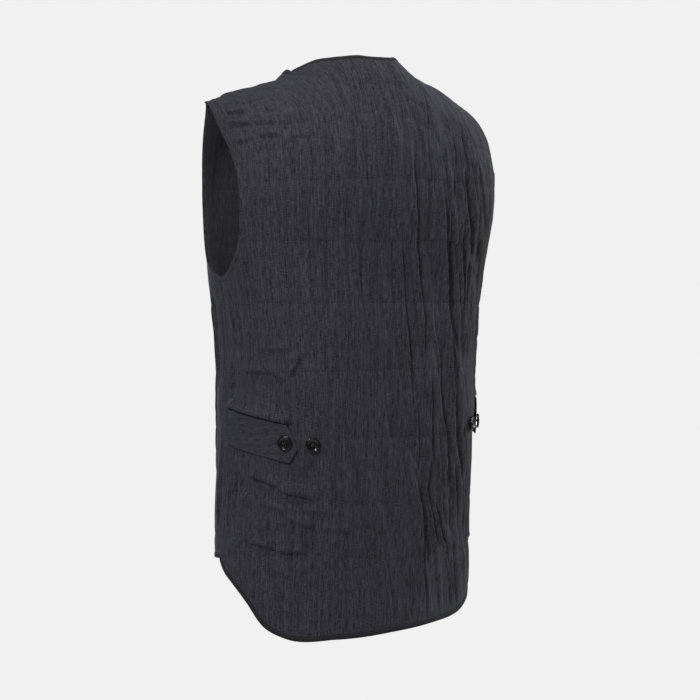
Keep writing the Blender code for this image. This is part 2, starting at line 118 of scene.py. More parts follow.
Hem = namedtuple("Hem", "girth rise")
BACK_HEM = (
    Hem(-0.283, -0.4382),
    Hem(-0.240, -0.4592),
    Hem(-0.195, -0.4852),
    Hem(-0.150, -0.5052),
    Hem(-0.080, -0.5180),
    Hem(0.000, -0.5262),
    Hem(0.080, -0.5310),
    Hem(0.150, -0.5287),
    Hem(0.178, -0.5157),
    Hem(0.204, -0.4887),
    Hem(0.238, -0.4654),
    Hem(0.262, -0.4542),
    Hem(0.283, -0.4382),
)
BACK_NECK = (
    Edge(0.00, 0.0000, 0.1212),
    Edge(0.20, 0.0240, 0.1262),
    Edge(0.40, 0.0428, 0.1414),
    Edge(0.60, 0.0554, 0.1628),
    Edge(0.80, 0.0644, 0.1880),
    Edge(1.00, 0.0808, 1.0),
)
FRONT_HEM_RISE = -0.4452
NECK_POINT_RISE = -0.0880
NECK_BOW = -0.006

FRONT_BUTTONS = 5
TOP_BUTTON_RISE = -0.103
FRONT_BUTTON_STEP = 0.080
Tab = namedtuple("Tab", "side shift short bulge")
TABS = {"left": Tab(1, 0.0, 0.0, 0.0130), "right": Tab(-1, 0.0220, 0.0400, 0.0050)}
TAB_ROOT_GIRTH = 0.2600
TAB_ROOT_RISE = -0.2612
TAB_SLANT = 0.0187
TAB_WIDTH = 0.0435
TAB_LENGTH = 0.110
TAB_STITCHED = 0.105
TAB_STAND = 0.0012
TAB_BULGE = 0.0030
TAB_CLOTH = 0.0012
TAB_TIP_LIFT = 0.0020
TabEnd = namedtuple("TabEnd", "down girth")
TAB_END = (
    TabEnd(0.00, 0.1568),
    TabEnd(0.30, 0.1470),
    TabEnd(0.58, 0.1418),
    TabEnd(0.80, 0.1465),
    TabEnd(1.00, 0.1514),
)
TAB_BUTTON = (0.1581, -0.3011)
BODY_BUTTON = (0.1214, -0.3034)
BUTTON_STAND = 0.0012
PADDING = 0.0012
CREASE_GAIN = 2.6
CREASE_LIMIT = 0.0065
CREASE_WOBBLE = 0.0012
LINE_WOBBLE = 0.0009
LIP_DROP = 0.0016
CRUMPLE_HEIGHT = 0.0015
STRAP_DIP = 0.0026
QUILT_PINCH = 0.0004
SEAM_GROOVE = 0.0009
CRINKLE_HEIGHT = 0.00026
PUFF_HEIGHT = 0.0006
GATHER_HEIGHT = 0.00070
PINCH_WIDTH = 0.0030
PUFF_WIDTH = 0.012
GATHER_WIDTH = 0.0085
EDGE_CALM = 0.016
SEAM_CALM = 0.014
SHOULDER_CALM = 0.030
BUTTON_CALM = 0.015

Place = namedtuple("Place", "at value")

# ---- horizontal quilting: each line's rise at five places round the back; the fronts go on level ----
Quilt = namedtuple("Quilt", "far_right centre mid_left left far_left pucker")
QUILT_AT = (-0.260, 0.000, 0.120, 0.190, 0.260)
QUILT_LINES = (
    Quilt(0.0600, 0.0608, 0.0830, 0.0955, 0.0935, 1.6),
    Quilt(0.0085, 0.0079, 0.0060, 0.0055, 0.0050, 1.0),
    Quilt(-0.0620, -0.0640, -0.0650, -0.0640, -0.0630, 0.9),
    Quilt(-0.1350, -0.1357, -0.1370, -0.1370, -0.1360, 0.8),
    Quilt(-0.2130, -0.2153, -0.2180, -0.2195, -0.2180, 1.0),
    Quilt(-0.2950, -0.2964, -0.2960, -0.2900, -0.2850, 0.7),
    Quilt(-0.3700, -0.3742, -0.3680, -0.3480, -0.3400, 1.1),
    Quilt(-0.4240, -0.4428, -0.4340, -0.4250, -0.4150, 0.9),
)

# ---- long pleats: the girth at five even steps from the top down to the foot ----
Pleat = namedtuple("Pleat", "top foot depth width first second third fourth last")
PLEATS = (
    # the back's right third
    Pleat(0.050, -0.215, 0.0017, 0.0060, -0.0120, -0.0190, -0.0280, -0.0415, -0.0470),
    Pleat(-0.060, -0.285, 0.0017, 0.0040, -0.0010, -0.0090, -0.0170, -0.0240, -0.0290),
    Pleat(0.010, -0.395, 0.0036, 0.0058, -0.0560, -0.0770, -0.0975, -0.1130, -0.1370),
    Pleat(0.092, -0.085, 0.0030, 0.0046, -0.1020, -0.1170, -0.1200, -0.1260, -0.1370),
    Pleat(0.100, -0.115, 0.0017, 0.0044, -0.0990, -0.0940, -0.0970, -0.1150, -0.1350),
    Pleat(-0.045, -0.200, 0.0020, 0.0044, -0.0930, -0.1040, -0.1140, -0.1210, -0.1330),
    Pleat(0.090, -0.020, 0.0010, 0.0034, -0.0800, -0.0795, -0.0780, -0.0750, -0.0730),
    Pleat(-0.045, -0.165, 0.0012, 0.0040, -0.0640, -0.0705, -0.0780, -0.0840, -0.0880),
    Pleat(-0.145, -0.365, 0.0018, 0.0050, -0.0570, -0.0740, -0.0800, -0.0950, -0.0960),
    Pleat(0.118, 0.050, 0.0016, 0.0036, -0.0500, -0.0490, -0.0470, -0.0430, -0.0400),
    Pleat(-0.205, -0.370, 0.0014, 0.0050, -0.0560, -0.0600, -0.0625, -0.0620, -0.0600),
    Pleat(-0.235, -0.345, 0.0013, 0.0036, -0.0300, -0.0350, -0.0385, -0.0405, -0.0415),
    Pleat(-0.345, -0.500, 0.0026, 0.0044, -0.0400, -0.0510, -0.0570, -0.0610, -0.0690),
    Pleat(-0.350, -0.435, 0.0017, 0.0038, -0.0560, -0.0650, -0.0730, -0.0800, -0.0860),
    Pleat(-0.375, -0.435, 0.0020, 0.0034, -0.0780, -0.0820, -0.0870, -0.0960, -0.1080),
    Pleat(-0.425, -0.500, 0.0016, 0.0042, -0.1030, -0.1090, -0.1160, -0.1210, -0.1260),
    Pleat(-0.290, -0.358, 0.0012, 0.0026, -0.0100, -0.0125, -0.0150, -0.0180, -0.0200),
    Pleat(-0.330, -0.400, 0.0018, 0.0036, -0.1120, -0.1140, -0.1170, -0.1200, -0.1240),
    Pleat(-0.440, -0.520, 0.0010, 0.0034, -0.0330, -0.0350, -0.0370, -0.0390, -0.0420),
    Pleat(-0.270, -0.480, 0.0016, 0.0046, -0.1310, -0.1360, -0.1400, -0.1420, -0.1430),
    # faint ones of the middle and the left
    Pleat(0.062, -0.070, 0.0007, 0.0034, 0.0570, 0.0530, 0.0510, 0.0520, 0.0560),
    Pleat(0.060, -0.150, 0.0008, 0.0040, 0.0380, 0.0340, 0.0260, 0.0190, 0.0130),
    Pleat(0.020, -0.120, 0.0009, 0.0036, 0.0080, 0.0040, 0.0000, -0.0050, -0.0120),
    Pleat(-0.040, -0.200, 0.0006, 0.0036, 0.0620, 0.0590, 0.0540, 0.0510, 0.0490),
    Pleat(0.020, -0.180, 0.0005, 0.0036, 0.0800, 0.0770, 0.0750, 0.0720, 0.0710),
    Pleat(0.000, -0.210, 0.0005, 0.0036, 0.1060, 0.1040, 0.1010, 0.1000, 0.0990),
    Pleat(0.050, -0.140, 0.0006, 0.0034, 0.1290, 0.1270, 0.1240, 0.1230, 0.1240),
    Pleat(-0.020, -0.190, 0.0006, 0.0040, 0.1560, 0.1540, 0.1530, 0.1520, 0.1530),
    Pleat(-0.250, -0.450, 0.0005, 0.0036, 0.0500, 0.0480, 0.0450, 0.0440, 0.0430),
    Pleat(-0.330, -0.510, 0.0005, 0.0034, 0.0900, 0.0890, 0.0870, 0.0860, 0.0860),
    Pleat(-0.400, -0.515, 0.0007, 0.0034, 0.1490, 0.1480, 0.1470, 0.1460, 0.1450),
    Pleat(-0.385, -0.490, 0.0006, 0.0034, 0.1980, 0.1980, 0.1990, 0.1990, 0.2000),
)

# ---- creases: from end to end, bowed; a ridge on the side of greater girth, or above a level one ----
Crease = namedtuple("Crease", "girth rise to_girth to_rise bow depth width")
CREASES = (
    # the back's left third and side
    Crease(0.208, -0.072, 0.203, -0.140, 0.001, 0.0012, 0.0036),
    Crease(0.236, -0.140, 0.232, -0.215, 0.001, 0.0022, 0.0044),
    Crease(0.246, -0.120, 0.242, -0.190, 0.001, 0.0018, 0.0036),
    Crease(0.258, -0.205, 0.246, -0.262, 0.001, 0.0030, 0.0040),
    Crease(0.244, -0.300, 0.238, -0.400, 0.002, 0.0026, 0.0034),
    Crease(0.254, -0.310, 0.250, -0.410, 0.001, 0.0022, 0.0030),
    Crease(0.232, -0.306, 0.214, -0.372, 0.002, 0.0026, 0.0036),
    Crease(0.229, -0.217, 0.172, -0.221, 0.001, 0.0020, 0.0036),
    Crease(0.178, -0.220, 0.160, -0.226, -0.001, 0.0020, 0.0034),
    Crease(0.152, -0.224, 0.141, -0.196, -0.001, 0.0018, 0.0034),
    Crease(0.200, -0.192, 0.148, -0.192, 0.001, 0.0012, 0.0038),
    Crease(0.230, -0.172, 0.190, -0.176, 0.001, 0.0008, 0.0036),
    Crease(0.214, -0.342, 0.160, -0.358, 0.002, 0.0024, 0.0036),
    Crease(0.165, -0.359, 0.112, -0.370, 0.001, 0.0022, 0.0036),
    Crease(0.190, -0.374, 0.150, -0.386, 0.002, 0.0014, 0.0032),
    Crease(0.158, -0.388, 0.112, -0.404, -0.002, 0.0016, 0.0036),
    Crease(0.136, -0.382, 0.098, -0.386, 0.001, 0.0010, 0.0030),
    Crease(0.198, -0.404, 0.168, -0.402, 0.001, 0.0010, 0.0030),
    Crease(0.206, -0.420, 0.160, -0.431, 0.002, 0.0020, 0.0034),
    Crease(0.166, -0.431, 0.122, -0.432, 0.001, 0.0016, 0.0034),
    Crease(0.236, -0.392, 0.216, -0.436, 0.001, 0.0016, 0.0036),
    Crease(0.247, -0.422, 0.222, -0.426, 0.001, 0.0012, 0.0032),
    Crease(0.180, -0.452, 0.140, -0.460, 0.001, 0.0008, 0.0034),
    Crease(0.108, -0.404, 0.060, -0.408, 0.001, 0.0007, 0.0034),
    # below the left shoulder
    Crease(0.214, 0.098, 0.180, 0.090, 0.001, 0.0020, 0.0034),
    Crease(0.182, 0.093, 0.150, 0.083, 0.001, 0.0018, 0.0034),
    Crease(0.150, 0.085, 0.112, 0.081, -0.001, 0.0015, 0.0032),
    Crease(0.212, 0.122, 0.176, 0.112, 0.002, 0.0014, 0.0036),
    Crease(0.172, 0.112, 0.134, 0.104, -0.001, 0.0012, 0.0034),
    Crease(0.210, 0.064, 0.182, 0.071, -0.002, 0.0016, 0.0030),
    Crease(0.178, 0.070, 0.146, 0.061, 0.002, 0.0016, 0.0030),
    Crease(0.140, 0.060, 0.104, 0.059, 0.001, 0.0010, 0.0030),
    Crease(0.196, 0.140, 0.152, 0.132, 0.001, 0.0010, 0.0036),
    Crease(0.092, 0.092, 0.050, 0.086, 0.001, 0.0009, 0.0034),
    Crease(0.060, 0.104, 0.020, 0.098, -0.001, 0.0009, 0.0034),
    Crease(0.014, 0.094, -0.034, 0.090, 0.001, 0.0008, 0.0034),
    Crease(-0.010, 0.076, -0.048, 0.078, 0.001, 0.0008, 0.0034),
    # the side that doesn't show
    Crease(-0.148, 0.060, -0.166, -0.200, 0.003, 0.0017, 0.0044),
    Crease(-0.168, -0.040, -0.188, -0.330, -0.004, 0.0018, 0.0046),
    Crease(-0.197, 0.010, -0.206, -0.140, 0.001, 0.0011, 0.0040),
    Crease(-0.141, -0.210, -0.160, -0.430, 0.003, 0.0015, 0.0042),
    Crease(-0.205, -0.195, -0.216, -0.390, 0.002, 0.0012, 0.0040),
    Crease(-0.238, -0.130, -0.240, -0.228, 0.001, 0.0010, 0.0036),
    Crease(-0.257, -0.190, -0.247, -0.244, 0.001, 0.0022, 0.0034),
    Crease(-0.236, -0.290, -0.217, -0.345, 0.002, 0.0016, 0.0030),
    Crease(-0.250, -0.300, -0.246, -0.392, 0.001, 0.0011, 0.0030),
    Crease(-0.187, -0.420, -0.128, -0.434, 0.001, 0.0009, 0.0034),
    # the left front
    Crease(0.292, -0.120, 0.300, -0.235, -0.002, 0.0020, 0.0040),
    Crease(0.310, -0.190, 0.324, -0.360, 0.003, 0.0014, 0.0044),
    Crease(0.345, -0.050, 0.352, -0.170, 0.001, 0.0009, 0.0040),
    Crease(0.352, -0.200, 0.372, -0.412, -0.003, 0.0012, 0.0042),
    Crease(0.384, -0.090, 0.392, -0.230, 0.002, 0.0009, 0.0040),
    Crease(0.402, -0.260, 0.412, -0.420, 0.001, 0.0010, 0.0040),
    Crease(0.350, 0.110, 0.340, -0.010, 0.002, 0.0010, 0.0040),
    Crease(0.398, 0.120, 0.400, 0.010, 0.001, 0.0009, 0.0040),
    Crease(0.280, -0.300, 0.286, -0.410, 0.001, 0.0018, 0.0034),
    Crease(0.428, -0.125, 0.436, -0.240, 0.001, 0.0007, 0.0036),
    Crease(0.452, -0.190, 0.449, -0.330, 0.002, 0.0008, 0.0040),
    Crease(0.330, -0.350, 0.392, -0.366, 0.001, 0.0009, 0.0032),
    # the right front
    Crease(-0.290, -0.130, -0.302, -0.260, 0.002, 0.0012, 0.0040),
    Crease(-0.316, -0.170, -0.330, -0.385, -0.003, 0.0014, 0.0042),
    Crease(-0.342, -0.020, -0.356, -0.150, 0.002, 0.0009, 0.0040),
    Crease(-0.366, -0.180, -0.374, -0.330, 0.002, 0.0012, 0.0044),
    Crease(-0.392, -0.060, -0.398, -0.210, 0.001, 0.0010, 0.0040),
    Crease(-0.410, -0.240, -0.404, -0.415, 0.002, 0.0010, 0.0040),
    Crease(-0.346, 0.100, -0.336, 0.000, 0.002, 0.0010, 0.0040),
    Crease(-0.400, 0.130, -0.404, 0.020, 0.001, 0.0008, 0.0036),
    Crease(-0.282, -0.320, -0.288, -0.420, 0.001, 0.0010, 0.0034),
    Crease(-0.440, -0.150, -0.446, -0.300, 0.002, 0.0008, 0.0040),
    Crease(-0.340, -0.358, -0.396, -0.366, 0.001, 0.0009, 0.0032),
)
Channel = namedtuple("Channel", "girth depth lean")
CHANNELS = (
    Channel(-0.520, 0.0007, 0.00),
    Channel(-0.300, 0.0010, 0.00),
    Channel(-0.250, 0.0014, 0.08),
    Channel(-0.190, 0.0020, 0.18),
    Channel(-0.120, 0.0022, 0.21),
    Channel(-0.060, 0.0023, 0.20),
    Channel(0.000, 0.0034, 0.14),
    Channel(0.070, 0.0030, 0.05),
    Channel(0.200, 0.0016, 0.00),
    Channel(0.270, 0.0010, 0.00),
    Channel(0.320, 0.0016, 0.00),
    Channel(0.520, 0.0010, 0.00),
)


# ---------------------------------------------------------------- the form
def smooth(rows, column, at):
    """A smooth line through one column of a table, by the table's first column; level at its last row."""
    places = np.array([row[0] for row in rows])
    values = np.array([getattr(row, column) for row in rows])
    slopes = np.gradient(values, places)
    slopes[-1] = 0
    at = np.clip(at, places[0], places[-1])
    low = np.clip(np.searchsorted(places, at, side="right") - 1, 0, len(places) - 2)
    step = places[low + 1] - places[low]
    t = (at - places[low]) / step
    ends = (1 + 2 * t) * (1 - t) ** 2 * values[low] + t * t * (3 - 2 * t) * values[low + 1]
    return ends + t * (1 - t) * step * ((1 - t) * slopes[low] - t * slopes[low + 1])


def shell(turn, low, lift):
    """A point of the form: a superellipse section at the height low, turned by turn from centre back, which
    shrinks and climbs along a superellipse arch to the shoulder line as lift goes to a quarter turn."""
    half, back, front, centre, power = (smooth(SECTIONS, name, low) for name in Section._fields[1:])
    climbed = np.sin(lift) ** 2
    power = power * (1 - ARCH_SOFTENING * climbed)
    sine, cosine = np.sin(turn), np.cos(turn)
    x = half * np.sign(sine) * np.abs(sine) ** (2 / power) * (1 - ARCH_NARROWING * climbed)
    depth = np.where(cosine > 0, back, -front) * np.abs(cosine) ** (2 / power)
    level = np.clip(np.cos(lift), 0, 1) ** (2 / ARCH_POWER)
    upright = np.sin(lift) ** (2 / ARCH_POWER)
    y = centre * level**LEAN_POWER + depth * level
    fuller = RIGHT_FULLNESS * np.exp(-(((x - RIGHT_PLACE) / RIGHT_REACH) ** 2))
    z = low + (smooth(SHOULDER_LINE, "height", np.abs(x)) + fuller - BLADE_HEIGHT) * upright
    return np.stack([x, y, z], -1)


def length_along(points):
    """The length of a line of points up to each of them."""
    return np.concatenate([[0.0], np.cumsum(np.linalg.norm(np.diff(points, axis=0), axis=1))])


NEAR = 0.002
STEPS = 8001
REFERENCE_TURN = 0.2 * pi
TURNS = np.linspace(0, 1.14 * pi, STEPS)
GIRTHS = length_along(shell(TURNS, np.full(STEPS, BLADE_HEIGHT), np.zeros(STEPS)))
LIFTS = np.linspace(0, pi / 2, STEPS)
RISES = length_along(shell(np.full(STEPS, REFERENCE_TURN), np.full(STEPS, BLADE_HEIGHT), LIFTS))
TOP_RISE = RISES[-1]
FRONT_GIRTH = np.interp(pi, TURNS, GIRTHS)


def turn_at(girth):
    """The turn round the form at a girth, read from the section at the blade line."""
    return np.sign(girth) * np.interp(np.abs(girth), GIRTHS, TURNS)


def in_front_of(girth):
    """The girth that lies straight in front of another: the same turn from centre front."""
    return np.interp(pi - turn_at(girth), TURNS, GIRTHS)


def on_form(girth, rise):
    """The form's point at a girth round from centre back and a rise up the cloth from the blade line."""
    girth, rise = np.broadcast_arrays(np.asarray(girth, float), np.asarray(rise, float))
    low = BLADE_HEIGHT + np.minimum(rise, 0)
    return shell(turn_at(girth), low, np.interp(rise, RISES, LIFTS))


def outward(girth, rise):
    """The form's unit normal, from points 2 mm to each side."""
    rise = np.minimum(rise, TOP_RISE - 0.0005 - NEAR)
    round_it = on_form(girth + NEAR, rise) - on_form(girth - NEAR, rise)
    up_it = on_form(girth, rise + NEAR) - on_form(girth, rise - NEAR)
    return unit(np.cross(up_it, round_it))


def unit(vectors):
    """Vectors divided by their lengths."""
    return vectors / np.maximum(np.linalg.norm(vectors, axis=-1, keepdims=True), 1e-12)


def ease(share):
    """A soft step from 0 to 1: three squares less two cubes of the clipped share."""
    share = np.clip(share, 0, 1)
    return share * share * (3 - 2 * share)


def wander(x, y, seed):
    """Smooth noise from -1 to 1: random values on a lattice, blended between neighbours."""
    lattice = np.random.default_rng(seed).uniform(-1, 1, (64, 64))
    column, row = np.floor(x).astype(int), np.floor(y).astype(int)
    across, up = ease(x - column), ease(y - row)

    def here(i, j):
        return lattice[(row + i) % 64, (column + j) % 64]

    low = here(0, 0) * (1 - across) + here(0, 1) * across
    high = here(1, 0) * (1 - across) + here(1, 1) * across
    return low * (1 - up) + high * up


# ---------------------------------------------------------------- the panels' edges, in girth and rise
def coons(bottom, top, start, end, across, up):
    """A patch between four edges: the two ruled surfaces between opposite edges, less the one between the
    corners."""
    u, v = across[None, :, None], up[:, None, None]
    ruled_up = (1 - v) * bottom[None] + v * top[None]
    ruled_across = (1 - u) * start[:, None] + u * end[:, None]
    low = (1 - u) * bottom[0] + u * bottom[-1]
    high = (1 - u) * top[0] + u * top[-1]
    return ruled_up + ruled_across - ((1 - v) * low + v * high)


def read_edge(rows, shares):
    """Girth and rise at shares of an edge's table, up to the shoulder at most."""
    rise = smooth([row._replace(rise=min(row.rise, TOP_RISE)) for row in rows], "rise", shares)
    return np.stack([smooth(rows, "girth", shares), rise], -1)


def side_edge(armhole, shares):
    """The side seam up to the underarm at share 0.5, then the armhole's edge."""
    seam = read_edge(SIDE_SEAM, np.clip(shares * 2, 0, 1))
    hole = read_edge(armhole, np.clip(shares * 2 - 1, 0, 1))
    return np.where((shares <= 0.5)[:, None], seam, hole)


def front_armhole():
    """The front armhole's table, which ends on the shoulder straight in front of the back's."""
    return (*ARMHOLE_FRONT, Edge(1.0, in_front_of(ARMHOLE_BACK[-1].girth), 1.0))


def back_top(share):
    """The back's top edge: half of the neck curve, then the shoulder seam."""
    neck = read_edge(BACK_NECK, np.clip(share / NECK_SHARE, 0, 1))
    tip = ARMHOLE_BACK[-1].girth
    girth = BACK_NECK[-1].girth + (tip - BACK_NECK[-1].girth) * (share - NECK_SHARE) / (1 - NECK_SHARE)
    seam = np.stack([girth, np.full(len(share), TOP_RISE)], -1)
    return np.where((share <= NECK_SHARE)[:, None], neck, seam)


def back_grid(across, up):
    """Girth and rise over the back, for shares from -1 to 1 across and 0 to 1 up."""
    left = side_edge(ARMHOLE_BACK, up)
    right = left * (-1, 1)
    bottom_girth = across * left[0, 0]
    bottom = np.stack([bottom_girth, smooth(BACK_HEM, "rise", bottom_girth)], -1)
    top = back_top(np.abs(across))
    top[:, 0] *= np.sign(across)
    top[:, 1] = np.minimum(top[:, 1], TOP_RISE - SHOULDER_GAP / 2)
    left[0], left[-1] = bottom[-1], top[-1]
    right[0], right[-1] = bottom[0], top[0]
    return coons(bottom, top, right, left, (across + 1) / 2, up)


def front_edge(up):
    """The left front's edge: straight up to the neck point, then the bowed neckline to the shoulder."""
    edge_girth = FRONT_GIRTH + OVERLAP
    neck_girth = in_front_of(BACK_NECK[-1].girth)
    below, above = np.clip(up * 2, 0, 1), np.clip(up * 2 - 1, 0, 1)
    girth = edge_girth + (neck_girth - edge_girth) * above + NECK_BOW * np.sin(pi * above)
    rise = FRONT_HEM_RISE + (NECK_POINT_RISE - FRONT_HEM_RISE) * below
    rise = rise + (TOP_RISE - NECK_POINT_RISE) * above
    return np.stack([girth, rise], -1)


def front_grid(across, up):
    """Girth and rise over the left front, from its side edge to its front edge."""
    side = side_edge(front_armhole(), up)
    edge = front_edge(up)
    bottom = side[0] + (edge[0] - side[0]) * across[:, None]
    top = side[-1] + (edge[-1] - side[-1]) * across[:, None]
    top[:, 1] = TOP_RISE - SHOULDER_GAP / 2
    side[-1], edge[-1] = top[0], top[-1]
    return coons(bottom, top, side, edge, across, up)


def lap_lift(girth):
    """How far the left front stands over the right one: level over the lap, gone at the ramp's end."""
    start = FRONT_GIRTH - OVERLAP - OVERLAP_RAMP
    return OVERLAP_LIFT * ease((girth - start) / OVERLAP_RAMP)


# ---- the outlines of the cut pieces, as lines of girth and rise ----
FINE = np.linspace(0, 1, 241)


def hem_line():
    """The hem from the right front's edge round the back to the left front's edge."""
    corner = front_edge(np.zeros(1))[0]
    girth = np.linspace(BACK_HEM[0].girth, BACK_HEM[-1].girth, 301)
    back = np.stack([girth, smooth(BACK_HEM, "rise", girth)], -1)
    side = back[-1]
    front = side + (corner - side) * np.linspace(0, 1, 121)[1:, None]
    return np.concatenate([(front * (-1, 1))[::-1], back, front])


def neck_line():
    """The right front's edge up to the shoulder, the back neck, and the left front's edge down."""
    front = front_edge(np.linspace(0, 1, 361))
    back = read_edge(BACK_NECK, np.linspace(0, 1, 61))
    back[-1, 1] = TOP_RISE
    return (front * (-1, 1))[:-1], np.concatenate([(back * (-1, 1))[:0:-1], back]), front[::-1][1:]


def armhole_line():
    """The left armhole: its back edge up from the underarm to the shoulder, and its front edge down."""
    behind, before = read_edge(ARMHOLE_BACK, FINE), read_edge(front_armhole(), FINE)
    return behind, before[::-1][1:-1]


def mirrored(line):
    """A line of girth and rise, followed by its mirror image."""
    return np.concatenate([line, line * (-1, 1)])


def nearest(girth, rise, line):
    """The distance from each point to the nearest of a line's points, in girth and rise."""
    points = np.stack([girth, rise], -1).reshape(-1, 2)
    best = np.empty(len(points))
    for start in range(0, len(points), 4000):
        block = points[start : start + 4000]
        best[start : start + 4000] = np.sqrt(((block[:, None] - line[None]) ** 2).sum(-1)).min(1)
    return best.reshape(np.shape(girth))


BOUND_EDGES = np.concatenate([hem_line()[::2], *neck_line(), mirrored(np.concatenate(armhole_line()))])
SIDE_SEAMS = mirrored(read_edge(SIDE_SEAM, FINE))
TAB_MIDDLE = TAB_ROOT_GIRTH - 0.055, TAB_ROOT_RISE - 0.030


# ---------------------------------------------------------------- the relief of the quilted cloth
# a noise has the size of its bumps round the girth and up the rise, and its seed
Noise = namedtuple("Noise", "round up seed")
CHANNEL_LINES = Noise(0.0125, 0.120, 3)
CHANNEL_FORKS = Noise(0.0075, 0.060, 4)
CHANNEL_DEPTHS = Noise(0.050, 0.090, 6)
BROAD_WAVES = Noise(0.042, 0.230, 7)
RIBS = Noise(0.0095, 0.210, 17)
LONG_CRINKLES = Noise(0.0052, 0.045, 8)
FINE_CRINKLES = Noise(0.012, 0.010, 9)
CRUMPLES = Noise(0.013, 0.0065, 15)
FINE_CRUMPLES = Noise(0.006, 0.005, 16)


def bumps(noise, girth, rise, shift=0.0):
    """A noise's value at a girth and rise, from -1 to 1; shift moves it on by shares of a bump."""
    return wander(girth / noise.round + shift, rise / noise.up, noise.seed)


def hill(off, width, power=2):
    """A bell: 1 at no offset and near 0 past the width."""
    return np.exp(-((off / width) ** power))


def quilt_rise(line, girth):
    """A quilting line's rise at a girth: a smooth curve through its five places, with a small wobble."""
    rows = [Place(at, rise) for at, rise in zip(QUILT_AT, line[:5])]
    own = np.full(np.shape(girth), QUILT_LINES.index(line) * 3.3)
    return smooth(rows, "value", girth) + LINE_WOBBLE * wander(girth / 0.030, own, 11)


def quilt_distance(girth, rise):
    """The signed distance up from the nearest quilting line, that line's pucker and its number."""
    away = np.stack([rise - quilt_rise(line, girth) for line in QUILT_LINES])
    pick = np.abs(away).argmin(0)
    pucker = np.array([line.pucker for line in QUILT_LINES])[pick]
    return np.take_along_axis(away, pick[None], 0)[0], pucker, pick


def lip(off, width):
    """A fold's profile across its line: a ridge that fades out, a short steep drop and a fading hollow."""
    return np.tanh(off / LIP_DROP) * np.exp(-np.abs(off) / (1.25 * width)) * np.where(off > 0, 0.85, 1.0)


def crease_relief(girth, rise):
    """The sum of the pleats and creases: each is a lip along its smooth or bowed line and fades out at both
    ends. The hyperbolic tangent keeps the sum under its limit."""
    total = np.zeros(np.shape(girth))
    for number, row in enumerate(PLEATS):
        places = [Place(at, girth_there) for at, girth_there in enumerate(row[4:])]
        share = (row.top - rise) / (row.top - row.foot)
        line = smooth(places, "value", 4 * share)
        line = line + LINE_WOBBLE * wander(rise / 0.017, rise * 0 + 7.7 * number, 12)
        fade = ease((share + 0.04) / 0.22) * ease((1.04 - share) / 0.22)
        uneven = 1 + 0.30 * wander(rise / 0.045, rise * 0 + 3.1 * number, 14)
        total += row.depth * uneven * fade * lip(girth - line + 0.0022, row.width)
    for row in CREASES:
        run = np.array([row.to_girth - row.girth, row.to_rise - row.rise])
        length = np.linalg.norm(run)
        run /= length
        beside = np.array([-run[1], run[0]])
        if beside[np.abs(beside).argmax()] < 0:
            beside = -beside
        there = np.stack([girth - row.girth, rise - row.rise], -1)
        share = there @ run / length
        bow = row.bow * 4 * share * (1 - share)
        bow = bow + CREASE_WOBBLE * wander(share * length / 0.022, share * 0 + row.girth * 900, 5)
        off = there @ beside - bow
        fade = ease((share + 0.06) / 0.30) * ease((1.06 - share) / 0.30)
        total += 1.25 * row.depth * fade * lip(off, row.width)
    return CREASE_LIMIT * np.tanh(CREASE_GAIN * total / CREASE_LIMIT)


def crumple(girth, rise):
    """Small irregular crumples, below the left shoulder and near the left side's foot."""
    where = hill(girth - 0.165, 0.055) * (hill(rise - 0.100, 0.040) + 0.9 * hill(rise + 0.395, 0.050))
    rough = bumps(CRUMPLES, girth, rise) + 0.5 * bumps(FINE_CRUMPLES, girth, rise)
    return CRUMPLE_HEIGHT * where * rough


def tab_drop(girth):
    """How far a strap's slant has taken it down at a girth, from its root."""
    return TAB_SLANT * (TAB_ROOT_GIRTH - girth) / (TAB_ROOT_GIRTH - TAB_END[0].girth)


def strap_hollow(girth, rise):
    """The straps draw the waist in: the cloth bulges over a strap's upper edge and drops sharply to it."""
    total = np.zeros(np.shape(girth))
    for sign, shift, short, bulge in TABS.values():
        share = (TAB_ROOT_GIRTH - sign * girth) / (TAB_ROOT_GIRTH - TAB_END[0].girth - short)
        edge = TAB_ROOT_RISE + shift - tab_drop(sign * girth) + 0.0006
        fade = ease((share + 0.05) / 0.10) * ease((1.10 - share) / 0.12)
        total += fade * lip(rise - edge, 0.0072) * np.where(rise > edge, bulge, STRAP_DIP)
    return total


def button_places():
    """The girth and rise of every button that lies on the panels."""
    girth, rise = BODY_BUTTON
    front = [(FRONT_GIRTH, TOP_BUTTON_RISE - number * FRONT_BUTTON_STEP) for number in range(FRONT_BUTTONS)]
    return [(tab.side * (girth + tab.short), rise + tab.shift) for tab in TABS.values()] + front


